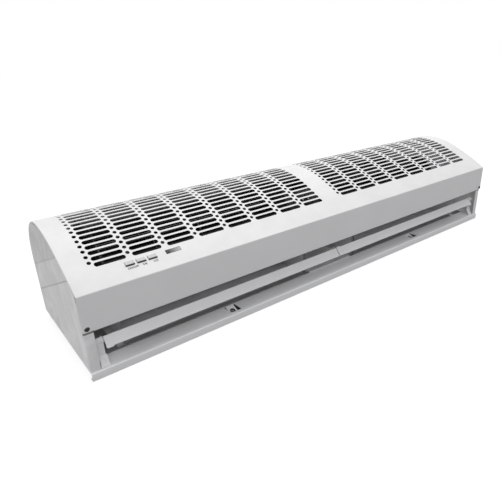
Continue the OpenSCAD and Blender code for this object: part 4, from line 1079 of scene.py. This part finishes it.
def makeSideBracket(name, node, side):
    piece = brackets
    track = pathThrough(piece["track"], piece["radii"])
    slope = track[2]
    rise = math.sin(math.radians(slope["heading"]))
    s = slope["s"] + (piece["dimpleZ"] - slope["z"]) / rise
    inner = piece["outerX"]
    outer, foot, knee = inner + piece["width"], inner - piece["footReach"], track[4]["s"]
    x = inner + piece["width"] / 2 - piece["dimpleIn"]
    notch = [(outer - inwards, max(0.0, slope["s"] + (z - slope["z"]) / rise))
             for inwards, z in piece["notch"]]
    notch[0] = (notch[0][0], 0.0)
    over, cut, drop = piece["heel"]
    bm = blank([(foot, 0.0)] + notch + [(outer, pathEnd(track)), (inner, pathEnd(track)),
                (inner, knee + over), (foot + cut, knee - cut), (foot, knee - drop)],
               [roundHole(x, s, piece["dimpleRadius"], 24)])
    cutAcross(bm, bendLines(track, piece["bendStep"]), "y")
    wrapBlank(bm, track)
    thickenBoth(bm, piece["thickness"])
    stamp(bm, dimpleFloor(track, x, s))
    stamp(bm, pinnedPlate(piece["ear"], inner + piece["earThickness"] / 2, piece["earThickness"]))
    return addPiece(name, turnedOver(bm, side), [vaneWhite], stands=[node])


def makeCentreBracket():
    # a face between the vanes on two cheeks, which run back to a web and a foot
    piece, half = brackets, brackets["centreHalf"]
    face = [fromPivot(piece[key], piece["faceOut"]) for key in ("faceLow", "faceHigh")]
    bm = bentStrip(pathThrough(face, []), -half, half, piece["thickness"])
    stamp(bm, bentStrip(pathThrough(piece["web"], [piece["webRadius"]]), -half, half, piece["thickness"]))
    for x in (-half + piece["earThickness"] / 2, half - piece["earThickness"] / 2):
        stamp(bm, pinnedPlate(piece["cheek"], x, piece["earThickness"]))
    return addPiece("centre_bracket", bm, [vaneWhite], stands=["vane_bracket_centre"])


for side, sign in (("left", -1.0), ("right", 1.0)):
    makeVane("outlet_vane_" + side, "vane_" + side, side + "_vane", sign)
for side, sign in (("left", -1.0), ("right", 1.0)):
    makeSideBracket("side_bracket_" + side, "vane_bracket_" + side, sign)
makeCentreBracket()
print("vanes and brackets made")


# keys, their labels and the window

controls = {
    "keyWidth": 12.2, "keyLength": 6.4, "frontRise": 2.2, "rearRise": 0.7, "skirt": 6.0, "row": 25.2,
    "dish": 0.3, "dishIn": 1.5, "dishRound": 0.35, "keyRound": 0.45,
    "stemRadius": 2.5, "stemLow": -10.0, "stemRoot": 1.0,
    "labels": [("label_power", "ON/OFF", -371.1, 14.6), ("label_high", "HI", -355.1, 4.9),
               ("label_low", "LO", -339.8, 6.2)],
    "labelRow": 17.3, "labelHeight": 2.9, "labelThickness": 0.06, "labelSink": 0.6,
    "letterDepth": 0.02, "letterWeight": 0.035,
    "windowWidth": 21.6, "windowHeight": 6.2, "windowTop": -0.3, "windowLow": -2.2, "windowRound": 0.25,
    "flange": 2.0, "flangeLow": -2.65, "flangeTop": -1.5, "flangeRound": 0.15,
}


def placeOnCover(bm, x, s):
    u, z, heading = followPath(path, frontEdge + s)
    h = math.radians(heading)
    out = case["sheet"] / 2
    origin = Vector((x, case["frontY"] + u - out * math.sin(h), z + out * math.cos(h)))
    bmesh.ops.transform(bm, matrix=Matrix.Translation(origin) @ Matrix.Rotation(h, 4, "X"), verts=bm.verts[:])


def boxBetween(low, high):
    bm = bmesh.new()
    bmesh.ops.create_cube(bm, size=1.0)
    bmesh.ops.scale(bm, vec=[b - a for a, b in zip(low, high)], verts=bm.verts[:])
    bmesh.ops.translate(bm, vec=[(a + b) / 2 for a, b in zip(low, high)], verts=bm.verts[:])
    return bm


def roundEdges(bm, edges, offset, segments=3):
    bmesh.ops.bevel(bm, geom=edges, offset=offset, offset_type="OFFSET", segments=segments, profile=0.5,
                    affect="EDGES", clamp_overlap=True, material=-1)


def makeKey(name, node, body, i):
    size = controls
    half, reach = size["keyWidth"] / 2, size["keyLength"] / 2
    bm = boxBetween((-half, -reach, -size["skirt"]), (half, reach, size["rearRise"]))
    for vert in bm.verts:
        if vert.co.z > 0 and vert.co.y < 0:
            vert.co.z = size["frontRise"]
    bm.normal_update()
    outer = [edge for edge in bm.edges if max(v.co.z for v in edge.verts) > 0]
    top = [face for face in bm.faces if face.normal.z > 0.5]
    bmesh.ops.inset_region(bm, faces=top, thickness=size["dishIn"], depth=0.0, use_even_offset=True)
    for vert in top[0].verts:
        vert.co.z -= size["dish"]
    roundEdges(bm, outer, size["keyRound"])
    roundEdges(bm, list(top[0].edges) if top[0].is_valid else [], size["dishRound"], 2)
    stem = bmesh.new()
    low, high = size["stemLow"], size["stemRoot"] - size["skirt"]
    bmesh.ops.create_cone(stem, cap_ends=True, segments=28, radius1=size["stemRadius"],
                          radius2=size["stemRadius"], depth=high - low)
    bmesh.ops.translate(stem, vec=(0.0, 0.0, (low + high) / 2), verts=stem.verts[:])
    stamp(bm, stem)
    bm.normal_update()
    # the front face lies in its own shade
    for face in bm.faces:
        face.material_index = 1 if face.normal.y < -0.8 and face.calc_center_median().y < 0.3 - reach else 0
    placeOnCover(bm, cover["keyX"] + i * cover["keyPitch"], size["row"])
    return addPiece(name, bm, [keyPlastic, keyShade], body=body, stands=[node],
                    sharpAngle=35.0)


def makeLabel(name, words, x, width):
    curve = bpy.data.curves.new(name, "FONT")
    curve.body = words
    curve.size = 1.0
    curve.resolution_u = 3
    curve.extrude = controls["letterDepth"]
    curve.offset = controls["letterWeight"]
    letters = bpy.data.objects.new(name + "_letters", curve)
    mesh = bpy.data.meshes.new_from_object(letters)
    bpy.data.objects.remove(letters)
    bm = bmesh.new()
    bm.from_mesh(mesh)
    bpy.data.meshes.remove(mesh)
    bpy.data.curves.remove(curve)
    bmesh.ops.remove_doubles(bm, verts=bm.verts[:], dist=1e-5)
    low = [min(v.co[k] for v in bm.verts) for k in range(3)]
    high = [max(v.co[k] for v in bm.verts) for k in range(3)]
    sizes = (width, controls["labelHeight"], controls["labelThickness"])
    for vert in bm.verts:
        for k in range(3):
            share = (vert.co[k] - low[k]) / (high[k] - low[k])
            vert.co[k] = (share - (0.5 if k < 2 else controls["labelSink"])) * sizes[k]
    placeOnCover(bm, x, controls["labelRow"])
    return addPiece(name, bm, [ink], sharpAngle=30.0)


def makeWindow():
    size = controls
    w, h, flange = size["windowWidth"] / 2, size["windowHeight"] / 2, size["flange"]
    bm = boxBetween((-w, -h, size["windowLow"]), (w, h, size["windowTop"]))
    upper = [edge for edge in bm.edges if min(v.co.z for v in edge.verts) > -1.0]
    roundEdges(bm, upper, size["windowRound"])
    rim = boxBetween((-w - flange, -h - flange, size["flangeLow"]),
                     (w + flange, h + flange, size["flangeTop"]))
    roundEdges(rim, rim.edges[:], size["flangeRound"], 1)
    stamp(bm, rim)
    placeOnCover(bm, cover["windowX"], size["row"])
    left = cover["windowX"] - w
    glass = smokedWindow("smokedWindowPane", left * mm, (left + 2 * w) * mm)
    dress("indicator_window", glass)
    return addPiece("status_window", bm, [glass], stands=["indicator_window"],
                    sharpAngle=35.0)


for i, key in enumerate(("power", "high", "low")):
    makeKey("key_cap_" + key, "key_" + key, key + "_key", i - 1)
for name, words, x, width in controls["labels"]:
    makeLabel(name, words, x, width)
makeWindow()
print("keys, labels and window made")


# stage, light and camera

stage = {
    "lens": 32.68, "cameraAt": (-557.71, -594.41, 362.96),
    "right": (0.79672, -0.60297, -0.04092),
    "up": (0.26501, 0.28772, 0.92032),
    "ahead": (0.54315, 0.74408, -0.38903),
    "worldStrength": 0.27,
    "floorSize": 40.0, "floorColour": 0.25,
    # the floor's glow: round the object, up to where, full from where, and none within this reach
    "floorGlow": 0.86, "glowFrom": 0.7, "glowFull": 1.8, "noGlow": (0.44, 0.095),
    # each soft light's place, aim, size and power
    "softboxes": {
        "topSoftbox": ((0.25, 0.35, 1.7), (0.1, 0.0, 0.1), (2.0, 1.6), 24.0),
        "endSoftbox": ((-1.5, 0.1, 0.35), (-0.45, 0.0, 0.05), (0.6, 0.5), 1.9),
        "frontSoftbox": ((-0.5, -1.55, 1.3), (0.0, 0.0, 0.05), (2.4, 1.0), 13.8),
    },
}


def seenRays(tree):
    # one where the camera, a reflection or clear plastic looks, zero where light only bounces
    rays = addNode(tree, "LightPath").outputs
    seen = mathNode(tree, "MAXIMUM", rays["Is Camera Ray"], rays["Is Glossy Ray"])
    return mathNode(tree, "MAXIMUM", seen, rays["Is Transmission Ray"])


def makeStage():
    bm = bmesh.new()
    bmesh.ops.create_grid(bm, x_segments=8, y_segments=8, size=stage["floorSize"] / 2)
    mesh = bpy.data.meshes.new("studioFloor")
    bm.to_mesh(mesh)
    bm.free()
    floor = addObject("studioFloor", mesh)
    material, tree, place = newTree("studioFloorPaint")
    level = stage["floorColour"]
    base = blend(tree, noise(tree, place, 1.5, 2.0), grey(level), grey(level * 1.03))
    paint = addNode(tree, "BsdfDiffuse", {"Color": base})
    # the glow is full far away, lower round the object and none under it
    away = addNode(tree, "VectorMath", {0: place}, operation="LENGTH").outputs["Value"]
    far = remap(tree, away, stage["glowFrom"], stage["glowFull"], stage["floorGlow"], 1.0)
    sides = axes(tree, place)
    under = times(tree, *(mathNode(tree, "LESS_THAN", mathNode(tree, "ABSOLUTE", sides[i]), reach)
                          for i, reach in enumerate(stage["noGlow"])))
    level = times(tree, far, mathNode(tree, "SUBTRACT", 1.0, under))
    glow = addNode(tree, "Emission", {"Color": (1.0, 1.0, 1.0, 1.0),
                                      "Strength": times(tree, seenRays(tree), level)})
    both = addNode(tree, "AddShader", {0: paint.outputs[0], 1: glow.outputs[0]})
    addNode(tree, "OutputMaterial", {0: both.outputs[0]})
    mesh.materials.append(material)

    world = bpy.data.worlds.new("studioWorld")
    scene.world = world
    world.use_nodes = True
    tree = world.node_tree
    tree.nodes.clear()
    dim = addNode(tree, "Background", {"Color": (0.93, 0.95, 1.0, 1.0), "Strength": stage["worldStrength"]})
    bright = addNode(tree, "Background", {"Color": (1.0, 1.0, 1.0, 1.0), "Strength": 1.0})
    mix = addNode(tree, "MixShader", {0: seenRays(tree), 1: dim.outputs[0], 2: bright.outputs[0]})
    addNode(tree, "OutputWorld", {0: mix.outputs[0]})


def addSoftbox(name, at, aim, size, power):
    light = bpy.data.lights.new(name, "AREA")
    light.shape = "RECTANGLE"
    light.size, light.size_y = size
    light.energy = power
    lamp = addObject(name, light)
    lamp.location = at
    lamp.rotation_euler = (Vector(aim) - Vector(at)).to_track_quat("-Z", "Y").to_euler()


def makeCamera():
    data = bpy.data.cameras.new("photoCamera")
    data.lens = stage["lens"]
    data.sensor_width = 36.0
    data.sensor_fit = "HORIZONTAL"
    data.clip_start = 0.01
    camera = addObject("photoCamera", data)
    right, up, ahead = (Vector(stage[way]).normalized() for way in ("right", "up", "ahead"))
    turn = Matrix((right, up, -ahead)).transposed().to_4x4()
    camera.matrix_world = Matrix.Translation(Vector(stage["cameraAt"]) * mm) @ turn
    scene.camera = camera


makeStage()
for name, values in stage["softboxes"].items():
    addSoftbox(name, *values)
makeCamera()
scene.view_settings.view_transform = "Standard"
print("stage made")
